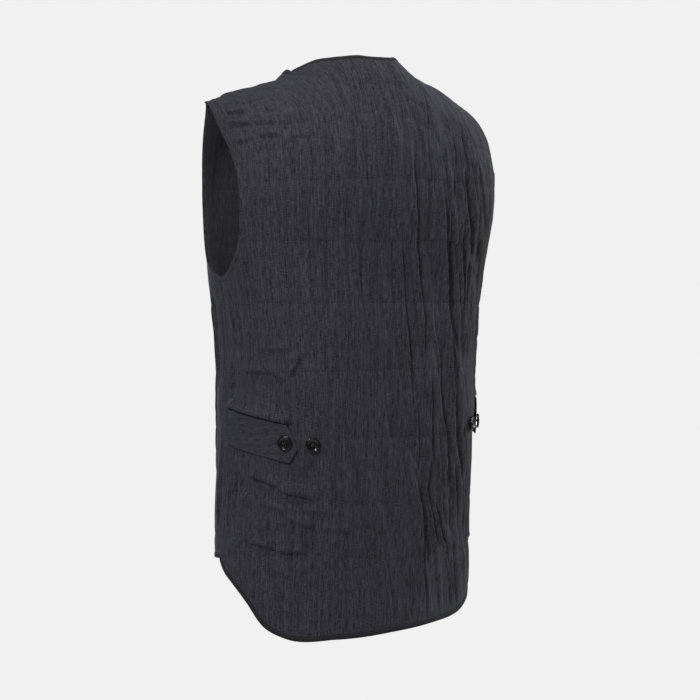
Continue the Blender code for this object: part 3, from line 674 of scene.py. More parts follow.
def relief(girth, rise):
    """How far the outer and the inner face stand out from the form: folds, channels and creases move both
    faces, quilting pinches the padding from both sides, and all but the straps' bulge calms down towards the
    bound edges, the seams and the buttons."""
    girth, rise = np.broadcast_arrays(np.asarray(girth, float), np.asarray(rise, float))
    lean = smooth(CHANNELS, "lean", girth)
    depth = smooth(CHANNELS, "depth", girth)
    warped = girth - lean * rise
    line_off, pucker, line = quilt_distance(girth, rise)
    band = line + (line_off > 0)  # the cloth between two quilting lines, whose channels are its own
    shift = 0.35 * wander(band * 1.7, warped / 0.02, 23)
    field = bumps(CHANNEL_LINES, warped, rise, shift) + 0.45 * bumps(CHANNEL_FORKS, warped, rise)
    channels = -hill(field, 0.30) * (0.75 + 0.5 * bumps(CHANNEL_DEPTHS, warped, rise))
    broad = bumps(BROAD_WAVES, warped, rise)
    crinkle = bumps(LONG_CRINKLES, warped, rise) + 0.6 * bumps(FINE_CRINKLES, girth, rise)
    pinch = hill(line_off, PINCH_WIDTH)
    puff = 1 - np.exp(-np.abs(line_off) / PUFF_WIDTH)
    gather = np.exp(-np.abs(line_off) / GATHER_WIDTH) * pucker
    gather = gather * wander(girth / 0.0046, line * 5.0 + line_off / 0.03, 10)
    edge = ease(nearest(girth, rise, BOUND_EDGES) / EDGE_CALM)
    seam = nearest(girth, rise, SIDE_SEAMS)
    shoulder = TOP_RISE - rise
    calm = edge * (0.35 + 0.65 * ease(seam / SEAM_CALM)) * (0.3 + 0.7 * ease(shoulder / SHOULDER_CALM))
    beside, above = np.abs(girth) - TAB_MIDDLE[0], rise - TAB_MIDDLE[1]
    under = np.exp(-((beside / 0.050) ** 6) - ((above / 0.022) ** 6))
    calm = calm * (1 - 0.65 * under)
    for button_girth, button_rise in button_places():
        away = np.hypot(girth - button_girth, rise - button_rise)
        calm = calm * (1 - 0.85 * hill(away, BUTTON_CALM, 4))
    ribs = bumps(RIBS, warped, rise)
    waves = depth * (0.6 * broad + 0.8 * channels + 0.40 * ribs)
    fold = calm * (crease_relief(girth, rise) + waves + crumple(girth, rise)) + strap_hollow(girth, rise)
    padding = 0.2 * depth * channels + CRINKLE_HEIGHT * crinkle + PUFF_HEIGHT * puff + GATHER_HEIGHT * gather
    padding = calm * padding - QUILT_PINCH * pinch * edge
    groove = hill(seam, 0.0017) + hill(shoulder, 0.0020)
    padding = PADDING * np.tanh((padding - SEAM_GROOVE * groove) / PADDING)
    return fold + padding, fold - 0.5 * padding


def on_cloth(girth, rise, out=0.0, lap=True):
    """The point of the quilted cloth's outer face, moved out."""
    girth, rise = np.broadcast_arrays(np.asarray(girth, float), np.asarray(rise, float))
    stand = relief(girth, rise)[0] + out + (lap_lift(girth) if lap else 0)
    return on_form(girth, rise) + outward(girth, rise) * stand[..., None]


# ---------------------------------------------------------------- meshes
def finish(name, mesh, material, replaces=()):
    """Makes the mesh a piece that rides on the vest's one body."""
    mesh.materials.append(material)
    mesh.shade_smooth()
    made = bpy.data.objects.new(name, mesh)
    bpy.context.scene.collection.objects.link(made)
    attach(made, "root")
    if replaces:
        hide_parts(*replaces)
    return made


def new_mesh(name, points, faces, uvs):
    """A mesh from an array of points, lists of faces, and maps that hold one pair for each point."""
    mesh = bpy.data.meshes.new(name)
    mesh.from_pydata(points.reshape(-1, 3).tolist(), [], faces)
    corners = np.empty(len(mesh.loops), int)
    mesh.loops.foreach_get("vertex_index", corners)
    for title, pairs in uvs.items():
        layer = mesh.uv_layers.new(name=title)
        layer.data.foreach_set("uv", pairs.reshape(-1, 2)[corners].astype(np.float32).ravel())
    return mesh


def cells(index, turned=False):
    """The four-cornered faces of a grid of point numbers."""
    quads = np.stack([index[:-1, :-1], index[:-1, 1:], index[1:, 1:], index[1:, :-1]], -1).reshape(-1, 4)
    return (quads[:, ::-1] if turned else quads).tolist()


def wall_mesh(name, outer, inner, skip, uvs, turned):
    """A closed wall: a fine outer face, an inner face with every skip-th row and column, and a rim whose
    faces each join skip steps of the outer border to one step of the inner border."""
    rows, columns = outer.shape[:2]
    out = np.arange(rows * columns).reshape(rows, columns)
    inner = inner[::skip, ::skip]
    inn = rows * columns + np.arange(inner.shape[0] * inner.shape[1]).reshape(inner.shape[:2])
    faces = cells(out, turned) + cells(inn, not turned)
    fine = np.concatenate([out[0, :-1], out[:-1, -1], out[-1, :0:-1], out[:0:-1, 0]])
    coarse = np.concatenate([inn[0, :-1], inn[:-1, -1], inn[-1, :0:-1], inn[:0:-1, 0]])
    runs = np.concatenate([fine.reshape(-1, skip), fine[skip::skip, None].tolist() + [[fine[0]]]], 1)
    rim = np.concatenate([runs, np.roll(coarse, -1)[:, None], coarse[:, None]], 1)
    faces += (rim if turned else rim[:, ::-1]).tolist()
    points = np.concatenate([outer.reshape(-1, 3), inner.reshape(-1, 3)])
    pairs = {}
    for title, pair in uvs.items():
        pairs[title] = np.concatenate([pair.reshape(-1, 2), pair[::skip, ::skip].reshape(-1, 2)])
    return new_mesh(name, points, faces, pairs)


def loft_mesh(name, points, uvs, ring=False, closed=False):
    """A tube whose sections are the rows of a grid: each is a loop, and the tube a ring or one with ends."""
    rows, columns = points.shape[:2]
    index = np.arange(rows * columns).reshape(rows, columns)
    wide = np.hstack([index, index[:, :1]])
    if ring:
        wide = np.vstack([wide, wide[:1]])
    faces = cells(wide, closed)
    if not ring:
        ends = [index[0].tolist(), index[-1, ::-1].tolist()]
        faces += [end[::-1] for end in ends] if closed else ends
    return new_mesh(name, points, faces, uvs)


def tube_faces(index):
    """The faces of a tube with two flat ends, whose sections are the rows of a grid of point numbers."""
    return cells(np.hstack([index, index[:, :1]]), True) + [index[0].tolist(), index[-1, ::-1].tolist()]


def facing(points, normals):
    """Whether a grid's faces, in the order of rows then columns, look against the normals."""
    across = points[1:-1, 2:] - points[1:-1, :-2]
    up = points[2:, 1:-1] - points[:-2, 1:-1]
    return (np.cross(across, up) * normals[1:-1, 1:-1]).sum(-1).mean() < 0


# ---------------------------------------------------------------- materials
def nodes_of(tree):
    """Two shorthands for building nodes: one adds a node with its values, the other links two sockets."""

    def add(kind, **values):
        node = tree.nodes.new(kind)
        for key, value in values.items():
            if hasattr(node, key):
                setattr(node, key, value)
            else:
                node.inputs[key.replace("_", " ")].default_value = value
        return node

    def join(first, second):
        tree.links.new(first, second)

    return add, join


def math_node(add, join, operation, first, second=None, third=None):
    """A sum of numbers and sockets; returns its output."""
    node = add("ShaderNodeMath", operation=operation)
    for socket, value in zip(node.inputs, (first, second, third)):
        if value is None:
            continue
        if isinstance(value, (int, float)):
            socket.default_value = value
        else:
            join(value, socket)
    return node.outputs[0]


def weave_group():
    """Slubbed, mottled cloth: noise drawn out along the warp, shorter noise along the weft, thick slubs and a
    slow cloudiness. Shade runs from 0, dark yarn, to 1, pale yarn, and Height is the yarns' relief."""
    tree = bpy.data.node_groups.get("slub_weave")
    if tree:
        return tree
    tree = bpy.data.node_groups.new("slub_weave", "ShaderNodeTree")
    side = tree.interface.new_socket
    side("Place", in_out="INPUT", socket_type="NodeSocketVector")
    for name, value in (("Warp", 1.0), ("Weft", 0.7), ("Slub", 0.6), ("Cloud", 0.4)):
        side(name, in_out="INPUT", socket_type="NodeSocketFloat").default_value = value
    side("Shade", in_out="OUTPUT", socket_type="NodeSocketFloat")
    side("Height", in_out="OUTPUT", socket_type="NodeSocketFloat")
    add, join = nodes_of(tree)
    enter, leave = add("NodeGroupInput"), add("NodeGroupOutput")

    def stretched(scale, detail, rough):
        mapping = add("ShaderNodeMapping")
        mapping.inputs["Scale"].default_value = (*scale, 1)
        join(enter.outputs["Place"], mapping.inputs["Vector"])
        noise = add("ShaderNodeTexNoise", noise_dimensions="2D", Scale=1.0, Detail=detail, Roughness=rough)
        join(mapping.outputs[0], noise.inputs["Vector"])
        return math_node(add, join, "SUBTRACT", noise.outputs["Fac"], 0.5)

    def product(first, second):
        return math_node(add, join, "MULTIPLY", first, second)

    def total(first, second):
        return math_node(add, join, "ADD", first, second)

    warp = product(stretched((980, 84), 1.0, 0.60), enter.outputs["Warp"])
    weft = product(stretched((150, 960), 1.0, 0.60), enter.outputs["Weft"])
    slub = product(stretched((330, 13), 1.0, 0.50), enter.outputs["Slub"])
    cloud = product(stretched((70, 48), 3.0, 0.55), enter.outputs["Cloud"])
    yarns = total(warp, weft)
    shade = total(total(yarns, slub), total(cloud, 0.5))
    join(math_node(add, join, "MULTIPLY_ADD", yarns, 1.0, slub), leave.inputs["Height"])
    clamp = add("ShaderNodeClamp")
    join(shade, clamp.inputs["Value"])
    join(clamp.outputs[0], leave.inputs["Shade"])
    return tree


def pucker_group():
    """The cloth beside a line of stitches: a narrow groove on the line, and short gathers across it that die
    out a few millimetres away. Place holds the way along the line and the distance from it."""
    tree = bpy.data.node_groups.get("stitch_pucker")
    if tree:
        return tree
    tree = bpy.data.node_groups.new("stitch_pucker", "ShaderNodeTree")
    side = tree.interface.new_socket
    side("Place", in_out="INPUT", socket_type="NodeSocketVector")
    side("Gather", in_out="INPUT", socket_type="NodeSocketFloat").default_value = 1.0
    side("Height", in_out="OUTPUT", socket_type="NodeSocketFloat")
    add, join = nodes_of(tree)
    enter, leave = add("NodeGroupInput"), add("NodeGroupOutput")
    split = add("ShaderNodeSeparateXYZ")
    join(enter.outputs["Place"], split.inputs[0])
    off = math_node(add, join, "ABSOLUTE", split.outputs["Y"])
    groove = math_node(add, join, "EXPONENT", math_node(add, join, "MULTIPLY", off, -900.0))
    fade = math_node(add, join, "EXPONENT", math_node(add, join, "MULTIPLY", off, -170.0))
    mapping = add("ShaderNodeMapping")
    mapping.inputs["Scale"].default_value = (300, 40, 1)
    join(enter.outputs["Place"], mapping.inputs["Vector"])
    noise = add("ShaderNodeTexNoise", noise_dimensions="2D", Scale=1.0, Detail=1.0, Roughness=0.5)
    join(mapping.outputs[0], noise.inputs["Vector"])
    ripple = math_node(add, join, "SUBTRACT", noise.outputs["Fac"], 0.5)
    ripple = math_node(add, join, "MULTIPLY", ripple, fade)
    ripple = math_node(add, join, "MULTIPLY", ripple, enter.outputs["Gather"])
    join(math_node(add, join, "MULTIPLY_ADD", groove, -0.35, ripple), leave.inputs["Height"])
    return tree


def new_material(name, **values):
    """A material whose Principled shader has these values, that shader, and the two shorthands."""
    made = bpy.data.materials.new(name)
    made.use_nodes = True
    shader = made.node_tree.nodes["Principled BSDF"]
    for key, value in values.items():
        shader.inputs[key.replace("_", " ")].default_value = value
    return made, shader, *nodes_of(made.node_tree)


def mix_colours(add, join, factor, dark, pale, target):
    """Mixes two colours by a factor's socket, into a target socket."""
    mix = add("ShaderNodeMix", data_type="RGBA")
    mix.inputs[6].default_value = (*dark, 1)
    mix.inputs[7].default_value = (*pale, 1)
    join(factor, mix.inputs[0])
    join(mix.outputs[2], target)


def cloth_material(name, dark, pale, weave_row, look):
    """Woven cloth: yarn colours mixed by the weave's shade, the weave and any puckers as bump, and sheen."""
    made, shader, add, join = new_material(
        name,
        Roughness=look.roughness,
        Specular_IOR_Level=0.25,
        Sheen_Weight=look.sheen * weave_row.sheen,
        Sheen_Roughness=0.45,
        Sheen_Tint=(0.80, 0.84, 1.0, 1),
    )
    place = add("ShaderNodeUVMap", uv_map="cloth")
    weave = add("ShaderNodeGroup", node_tree=weave_group())
    join(place.outputs[0], weave.inputs["Place"])
    for socket, amount in zip(("Warp", "Weft", "Slub", "Cloud"), weave_row[:4]):
        weave.inputs[socket].default_value = amount
    mix_colours(add, join, weave.outputs["Shade"], dark, pale, shader.inputs["Base Color"])
    raised = add("ShaderNodeBump", Strength=1.0, Distance=look.weave_bump * weave_row.bump)
    join(weave.outputs["Height"], raised.inputs["Height"])
    if weave_row.quilted:
        beside = add("ShaderNodeUVMap", uv_map="quilt")
        pucker = add("ShaderNodeGroup", node_tree=pucker_group())
        join(beside.outputs[0], pucker.inputs["Place"])
        drawn = add("ShaderNodeBump", Strength=1.0, Distance=0.0008)
        join(pucker.outputs["Height"], drawn.inputs["Height"])
        join(drawn.outputs[0], raised.inputs["Normal"])
    join(raised.outputs[0], shader.inputs["Normal"])
    return made


def thread_material(name, colour, roughness):
    """Sewing thread: a twist of pale and dark bands across each stitch, by the piece's own map."""
    made, shader, add, join = new_material(name, Roughness=roughness, Sheen_Weight=0.15)
    place = add("ShaderNodeUVMap", uv_map="cloth")
    mapping = add("ShaderNodeMapping")
    mapping.inputs["Scale"].default_value = (2600, 1300, 1)
    join(place.outputs[0], mapping.inputs["Vector"])
    twist = add("ShaderNodeTexWave", wave_type="BANDS", Scale=1.0, Distortion=0.6)
    twist.bands_direction = "DIAGONAL"
    join(mapping.outputs[0], twist.inputs["Vector"])
    dark, pale = [0.6 * part for part in colour], [1.3 * part for part in colour]
    mix_colours(add, join, twist.outputs["Fac"], dark, pale, shader.inputs["Base Color"])
    raised = add("ShaderNodeBump", Strength=0.6, Distance=0.00008)
    join(twist.outputs["Fac"], raised.inputs["Height"])
    join(raised.outputs[0], shader.inputs["Normal"])
    return made


def button_material(name, colour):
    """Polished black resin: faint cloudy streaks, hazier where it is rubbed, under a clear gloss."""
    gloss = dict(Coat_Weight=0.22, Coat_Roughness=0.06, Specular_IOR_Level=0.30)
    made, shader, add, join = new_material(name, **gloss)
    place = add("ShaderNodeTexCoord")
    clouds = add("ShaderNodeTexNoise", Scale=260.0, Detail=4.0, Roughness=0.6)
    join(place.outputs["Object"], clouds.inputs["Vector"])
    dark, pale = [0.6 * part for part in colour], [1.7 * part for part in colour]
    mix_colours(add, join, clouds.outputs["Fac"], dark, pale, shader.inputs["Base Color"])
    rubbed = add("ShaderNodeMapRange", To_Min=0.14, To_Max=0.24)
    join(clouds.outputs["Fac"], rubbed.inputs["Value"])
    join(rubbed.outputs[0], shader.inputs["Roughness"])
    return made


# each cloth's share of the four noises, and of the settings' yarn colours, weave bump and sheen
Weave = namedtuple("Weave", "warp weft slub cloud dark pale bump sheen quilted")
WEAVES = {
    "quilted_cloth": Weave(1.20, 0.75, 0.60, 0.03, 1.0, 1.0, 1.0, 1.0, True),
    # the inner face: the same yarns made paler, painted light for the light that reaches the inside through
    # the armholes
    "inner_cloth_painted_light": Weave(1.20, 0.60, 0.50, 0.03, 1.4, 1.15, 1.0, 1.0, True),
    "binding_cloth": Weave(0.60, 0.60, 0.20, 0.30, 1.0, 1.0, 1.0, 0.6, False),
    "band_cloth": Weave(1.40, 1.20, 0.40, 0.30, 1.0, 1.0, 1.0, 1.0, False),
    "tab_cloth": Weave(0.90, 0.60, 0.30, 0.05, 1.0, 1.0, 0.8, 1.0, False),
}
BLACK_THREAD = (0.008, 0.008, 0.009)


def material(name):
    """One of the vest's materials, made on first use from the panel's settings."""
    title = "vest_" + name
    made = bpy.data.materials.get(title)
    if made:
        return made
    look = bpy.context.scene.vest_cloth
    if name == "thread":
        return thread_material(title, look.thread, 0.55)
    if name == "black_thread":
        return thread_material(title, BLACK_THREAD, 0.5)
    if name == "button_black":
        return button_material(title, look.button)
    weave = WEAVES[name]
    # the binding tapes' yarn colours are darkened here: painted shade for the dark line the bound edges show
    # in shadow
    shade = look.binding_painted_shade if name == "binding_cloth" else 1.0
    dark, pale = np.array(look.dark_yarn) * shade, np.array(look.pale_yarn) * shade
    return cloth_material(title, dark * weave.dark, pale * weave.pale, weave, look)


# ---------------------------------------------------------------- settings
def colour_setting(title, about, value):
    """A colour."""
    return bpy.props.FloatVectorProperty(
        name=title, description=about, subtype="COLOR", default=value, min=0, max=1
    )


def share_setting(title, about, value):
    """A share from 0 to 1."""
    return bpy.props.FloatProperty(
        name=title, description=about, subtype="FACTOR", default=value, min=0, max=1
    )


def length_setting(title, about, value, least, most):
    """A length in metres."""
    return bpy.props.FloatProperty(
        name=title, description=about, subtype="DISTANCE", unit="LENGTH", default=value, min=least, max=most
    )


def strength_setting(title, about, value, most):
    """A strength without a unit."""
    return bpy.props.FloatProperty(name=title, description=about, default=value, min=0, max=most)


class VestCloth(bpy.types.PropertyGroup):
    dark_yarn: colour_setting("Dark yarn", "Colour of the darkest yarns", (0.0040, 0.0042, 0.0056))
    pale_yarn: colour_setting("Pale yarn", "Colour of the palest yarns", (0.056, 0.056, 0.067))
    thread: colour_setting("Thread", "Colour of the sewing thread", (0.045, 0.046, 0.053))
    button: colour_setting("Buttons", "Colour of the buttons", (0.0035, 0.0035, 0.0040))
    # the binding's darkening is painted shade along the bound edges, not a darker colour of the tape itself
    binding_painted_shade: share_setting("Binding shade", "The binding's colour as a share of the cloth's", 0.46)
    roughness: share_setting("Roughness", "Roughness of the cloth", 0.86)
    sheen: share_setting("Sheen", "Pale sheen of the cloth's fibres seen at a low angle", 0.07)
    weave_bump: length_setting("Weave bump", "Height of the yarns", 0.0004, 0, 0.002)


class VestSewing(bpy.types.PropertyGroup):
    cell: length_setting("Cell", "Size of the panels' mesh cells", 0.0021, 0.001, 0.02)
    quilt_stitch: length_setting("Quilting stitch", "Pitch of the quilting stitches", 0.0042, 0.001, 0.02)
    edge_stitch: length_setting("Edge stitch", "Pitch of the stitches along the edges", 0.0027, 0.001, 0.02)
    button_radius: length_setting("Button radius", "Radius of the buttons", 0.0090, 0.004, 0.02)


class VestStage(bpy.types.PropertyGroup):
    backdrop: share_setting("Backdrop", "Brightness of the pale backdrop", 0.880)
    floor_height: length_setting("Floor", "Height of the floor", -1.38, -3, 0)
    light: strength_setting("Light", "Strength of the soft boxes", 1.0, 10)
    ambient: strength_setting("Ambient", "Strength of the light from all round", 0.15, 5)


# ---------------------------------------------------------------- pieces
SKIP = 3  # the inner face has every third row and column of the outer one
PANEL_HEIGHT = 0.68
BACK_WIDTH = 0.54
FRONT_WIDTH = 0.235
PLEATED = (-0.55, 0.05)  # the back's pleated shares, where its columns are closer together
CROWDING = 1.55


def grid_lines(length, cell):
    """How many lines a grid has over a length, so that every third one can be picked, with both ends."""
    return SKIP * round(length / cell / SKIP) + 1


def make_panel(name, grid, lap):
    """A panel of quilted cloth: its form moved out by the relief, on a fine grid of girth and rise."""
    girth, rise = grid[..., 0], grid[..., 1]
    form, normal = on_form(girth, rise), outward(girth, rise)
    outer_stand, inner_stand = relief(girth, rise)
    outer = form + normal * (outer_stand + lap)[..., None]
    inner = form + normal * (inner_stand + lap - CLOTH)[..., None]
    off, _, _ = quilt_distance(girth, rise)
    uvs = {"cloth": grid, "quilt": np.stack([girth, off], -1)}
    mesh = wall_mesh(name, outer, inner, SKIP, uvs, facing(form, normal))
    made = finish(name, mesh, material("quilted_cloth"), [name.replace("_cloth", "")])
    # the inner face takes the paler copy of the cloth, whose extra brightness is painted light
    mesh.materials.append(material("inner_cloth_painted_light"))
    inside = np.zeros(len(mesh.polygons), int)
    rows, columns = inner[::SKIP, ::SKIP].shape[:2]
    first = (grid.shape[0] - 1) * (grid.shape[1] - 1)
    inside[first : first + (rows - 1) * (columns - 1)] = 1
    mesh.polygons.foreach_set("material_index", inside)
    return made


class VEST_OT_panels(bpy.types.Operator):
    """The back and the two fronts, quilted"""

    bl_idname = "vest.panels"
    bl_label = "Quilted panels"

    def execute(self, context):
        cell = context.scene.vest_sewing.cell
        up = np.linspace(0, 1, grid_lines(PANEL_HEIGHT, cell))
        places = np.linspace(-1, 1, 401)
        crowding = np.cumsum(np.where((places > PLEATED[0]) & (places < PLEATED[1]), CROWDING, 1.0))
        crowding = (crowding - crowding[0]) / (crowding[-1] - crowding[0])
        across = np.interp(np.linspace(0, 1, grid_lines(BACK_WIDTH, cell)), crowding, places)
        back = back_grid(across, up)
        front = front_grid(np.linspace(0, 1, grid_lines(FRONT_WIDTH, cell)), up)
        lap = lap_lift(front[..., 0])
        made = make_panel("back_panel_cloth", back, 0 * back[..., 0])
        made = make_panel("front_panel_left_cloth", front, lap)
        made = make_panel("front_panel_right_cloth", front * (-1, 1), 0 * lap)
        return {"FINISHED"}


# the folded tape's section: the distance past the raw edge, the distance out from the cloth's outer face, and
# the share of the cloth's thickness that comes off it
Fold = namedtuple("Fold", "past out down")
TAPE_FOLD = (
    Fold(-0.0014, 0.00008, 0.0),
    Fold(-0.0012, 0.00038, 0.0),
    Fold(-0.0006, 0.00052, 0.0),
    Fold(0.0008, 0.00056, 0.0),
    Fold(0.0024, 0.00060, 0.0),
    Fold(0.0038, 0.00050, 0.0),
    Fold(0.0045, 0.00010, 0.05),
    Fold(0.0048, 0.0, 0.28),
    Fold(0.0049, 0.0, 0.50),
    Fold(0.0048, 0.0, 0.72),
    Fold(0.0045, -0.00010, 0.95),
    Fold(0.0038, -0.00050, 1.0),
    Fold(0.0024, -0.00060, 1.0),
    Fold(0.0008, -0.00056, 1.0),
    Fold(-0.0006, -0.00052, 1.0),
    Fold(-0.0012, -0.00038, 1.0),
    Fold(-0.0014, -0.00008, 1.0),
    Fold(-0.0002, -0.00008, 1.0),
    Fold(0.0002, 0.0, 0.97),
    Fold(0.0002, 0.0, 0.03),
    Fold(-0.0002, 0.00008, 0.0),
)


EDGE_STEP = 0.0030
CORNER_BEND = 0.35
CORNER_SLIM = 0.80


def even_out(points, step):
    """Even places along a line of 3D points, about a step apart, and the length along it to each point."""
    along = length_along(points)
    count = max(2, round(along[-1] / step) + 1)
    return np.linspace(0, along[-1], count), along


def read_line(at, along, values):
    """Reads each column of a line's values at places along it."""
    return np.stack([np.interp(at, along, column) for column in values.T], -1)


def edge_frames(line, lap, ring=False):
    """Stations along a raw edge: the outer face's point, the outward normal, the way along and the length to
    there."""
    girth, rise = line[:, 0], line[:, 1]
    stand = relief(girth, rise)[0]
    points = on_form(girth, rise) + outward(girth, rise) * (stand + lap)[:, None]
    if ring:
        points = np.concatenate([points, points[:1]])
        girth, rise = np.append(girth, girth[0]), np.append(rise, rise[0])
    at, along = even_out(points, EDGE_STEP)
    spots = read_line(at, along, points)
    normals = unit(read_line(at, along, outward(girth, rise)))
    if ring:
        spots, normals, at = spots[:-1], normals[:-1], at[:-1]
        ahead, behind = np.roll(spots, -1, 0), np.roll(spots, 1, 0)
    else:
        ahead, behind = np.vstack([spots[1:], spots[-1:]]), np.vstack([spots[:1], spots[:-1]])
    goes = unit(ahead - behind)
    for _ in range(2):  # evens the frames out where the line turns sharply
        if ring:
            normals = unit(np.roll(normals, 1, 0) + 2 * normals + np.roll(normals, -1, 0))
        else:
            normals[1:-1] = unit(normals[:-2] + 2 * normals[1:-1] + normals[2:])
    normals = unit(normals - goes * (normals * goes).sum(-1, keepdims=True))
    return spots, normals, goes, at


def tape_mesh(name, spots, normals, goes, at, width, side, ring=False, mitres=(0, 0)):
    """A folded tape round a raw edge: the fold's section carried along the edge, narrower where the edge
    turns a corner, its ends sheared to a mitre."""
    past = np.array([row.past for row in TAPE_FOLD])
    past = np.where(past > 0.001, past * width / BIND_WIDTH, past)
    out = np.array([row.out for row in TAPE_FOLD])
    down = np.array([row.down for row in TAPE_FOLD])
    away = side * np.cross(normals, goes)
    stand = out[None] - down[None] * CLOTH
    bend = np.linalg.norm(np.roll(goes, -2, 0) - np.roll(goes, 2, 0), axis=1)
    slim = 1 - CORNER_SLIM * np.clip((bend - CORNER_BEND) / 0.5, 0, 1)
    if not ring:
        slim[:3] = slim[-3:] = 1
    reach = np.where(past > 0.001, past * slim[:, None], past)
    points = spots[:, None] + away[:, None] * reach[..., None] + normals[:, None] * stand[..., None]
    slack = 0.00012 * wander(at / 0.006, at * 0 + 3, 31)[:, None, None]
    points = points + normals[:, None] * slack * np.sign(out)[None, :, None]
    for end, mitre in zip((0, -1), mitres):
        points[end] += goes[end] * (past * mitre)[:, None]
    girdle = np.concatenate([[0], np.cumsum(np.hypot(np.diff(past), np.diff(out - down * CLOTH)))])
    uvs = {"cloth": np.stack(np.broadcast_arrays(girdle[None], at[:, None]), -1)}
    across = np.roll(points, -1, 1) - points
    onward = np.roll(points, -1, 0) - points
    middle = points.mean(1, keepdims=True)
    turned = (np.cross(across, onward) * (points - middle))[2:-2, 1:14].sum(-1).mean() > 0
    return loft_mesh(name, points, uvs, ring, not turned)


class VEST_OT_bindings(bpy.types.Operator):
    """The folded tapes round the hem, the neck and fronts, and the two armholes"""

    bl_idname = "vest.bindings"
    bl_label = "Bindings"

    def execute(self, context):
        hem = hem_line()
        frames = edge_frames(hem, lap_lift(hem[:, 0]))
        mesh = tape_mesh("hem_tape", *frames, BIND_WIDTH, 1, mitres=(-1, 1))
        made = finish("hem_tape", mesh, material("binding_cloth"), ["hem_binding"])
        neck = np.concatenate(neck_line())
        frames = edge_frames(neck, lap_lift(neck[:, 0]))
        name = "neck_front_tape"
        mesh = tape_mesh(name, *frames, BIND_WIDTH, -1, mitres=(-1, 1))
        made = finish(name, mesh, material("binding_cloth"), ["neck_front_binding"])
        for side, tab in TABS.items():
            line = np.concatenate(armhole_line()) * (tab.side, 1)
            frames = edge_frames(line, 0 * line[:, 0], ring=True)
            name = "armhole_tape_" + side
            mesh = tape_mesh(name, *frames, ARM_BIND_WIDTH, -tab.side, ring=True)
            made = finish(name, mesh, material("band_cloth"), ["armhole_band_" + side])
        return {"FINISHED"}


# ---- straps ----
def tab_surface(tab, along, down):
    """A strap's inner surface: from its root in the side seam it runs to a pointed end, slants down, and its
    upper edge bows away from the cloth."""
    end = np.interp(down, [row.down for row in TAB_END], [row.girth for row in TAB_END]) + tab.short
    girth = TAB_ROOT_GIRTH + (end - TAB_ROOT_GIRTH) * along
    rise = TAB_ROOT_RISE + tab.shift - tab_drop(girth) - TAB_WIDTH * down
    stand = TAB_STAND + TAB_BULGE * (1 - down) * np.sin(pi * along)
    stand = stand + 0.0005 * wander(along * 4.0, down * 1.6, 41) * np.sin(pi * along)
    stand = stand + TAB_TIP_LIFT * ease((along - 0.70) / 0.30)
    return tab.side * girth, rise, stand


class VEST_OT_tabs(bpy.types.Operator):
    """The two pointed side straps, with their folded edges"""

    bl_idname = "vest.tabs"
    bl_label = "Side straps"

    def execute(self, context):
        for side, tab in TABS.items():
            name = "side_tab_" + side
            along = (1 - np.cos(np.linspace(0.18, pi, 91))) / 2
            along = (along - along[0]) / (along[-1] - along[0])
            corners = [row.down for row in TAB_END[1:-1]]
            down = np.concatenate([(1 - np.cos(np.linspace(0, pi, 41))) / 2, corners])
            down = np.unique(np.round(down, 6))
            down = down[: len(down) - (len(down) - 1) % 3]
            down[-1] = 1.0
            along, down = np.meshgrid(along, down)
            girth, rise, stand = tab_surface(tab, along, down)
            reach = np.minimum(np.minimum(down, 1 - down) * TAB_WIDTH, (1 - along) * TAB_LENGTH)
            round_off = np.sqrt(1 - (1 - np.clip(reach / 0.0009, 0, 1)) ** 2)
            welt = np.exp(-(((reach - 0.0017) / 0.0011) ** 2))
            form, normal = on_form(girth, rise), outward(girth, rise)
            middle = stand + TAB_CLOTH / 2
            half = (TAB_CLOTH / 2) * (0.12 + 0.88 * round_off) + 0.00012 * welt
            outer = form + normal * (middle + half)[..., None]
            inner = form + normal * (middle - half)[..., None]
            uvs = {"cloth": np.stack([rise, girth], -1)}
            mesh = wall_mesh(name + "_cloth", outer, inner, 1, uvs, facing(form, normal))
            made = finish(name + "_cloth", mesh, material("tab_cloth"), [name])
        return {"FINISHED"}


# ---- buttons: the face's height at shares of the radius, and the sizes of holes and threads ----
Profile = namedtuple("Profile", "out height")
BUTTON_FACE = (
    Profile(0.00, 0.62),
    Profile(0.45, 0.64),
    Profile(0.60, 0.70),
    Profile(0.68, 0.86),
    Profile(0.76, 0.98),
    Profile(0.84, 1.00),
    Profile(0.91, 0.93),
    Profile(0.96, 0.80),
    Profile(1.00, 0.56),
)
BUTTON_THICK = 0.0030
HOLE_PLACE = 0.245
HOLE_RADIUS = 0.105
HOLE_SLOPE = 0.045
HOLE_DEPTH = 0.50
HOLE_TURNS = [pi / 4 + k * pi / 2 for k in range(4)]
BAR_HEIGHT = 0.0022
BAR_STRAND = 0.00022
STRAND_GAP = 0.00032
SHANK_RADIUS = 0.0011
SHANK_STRAND = 0.00024
TAB_SHANK = 0.0014
FRONT_SHANK = 0.0016


def button_grid(radius):
    """A turned button with four dimpled holes: the height of its face over a disc, and of its back, joined at
    the rim. The face is dished inside a rounded rim, and each hole is a steep-sided pit."""
    turns = np.linspace(0, 2 * pi, 97)[:-1]
    bands = np.linspace(0.02, 0.10, 3), np.linspace(0.13, 0.40, 18), np.linspace(0.46, 1.0, 22)
    inside = np.concatenate(bands)
    out = np.concatenate([inside, [0.985, 0.95, 0.88], np.linspace(0.78, 0.02, 9)])
    face = np.interp(inside, *zip(*BUTTON_FACE))
    under = np.concatenate([[0.34, 0.16, 0.05], np.zeros(9)])
    height = np.concatenate([face, under])
    x, y = out[:, None] * np.cos(turns), out[:, None] * np.sin(turns)
    z = np.repeat(height[:, None], len(turns), 1)
    holes = [(HOLE_PLACE * cos(turn), HOLE_PLACE * sin(turn)) for turn in HOLE_TURNS]
    gap = np.min([np.hypot(x - hole_x, y - hole_y) for hole_x, hole_y in holes], axis=0)
    pit = 1 - ease((gap - HOLE_RADIUS) / HOLE_SLOPE)
    top = np.arange(len(out))[:, None] < len(inside)
    z = np.where(top, z - HOLE_DEPTH * pit, z)
    return np.stack([x * radius, y * radius, z * BUTTON_THICK], -1)


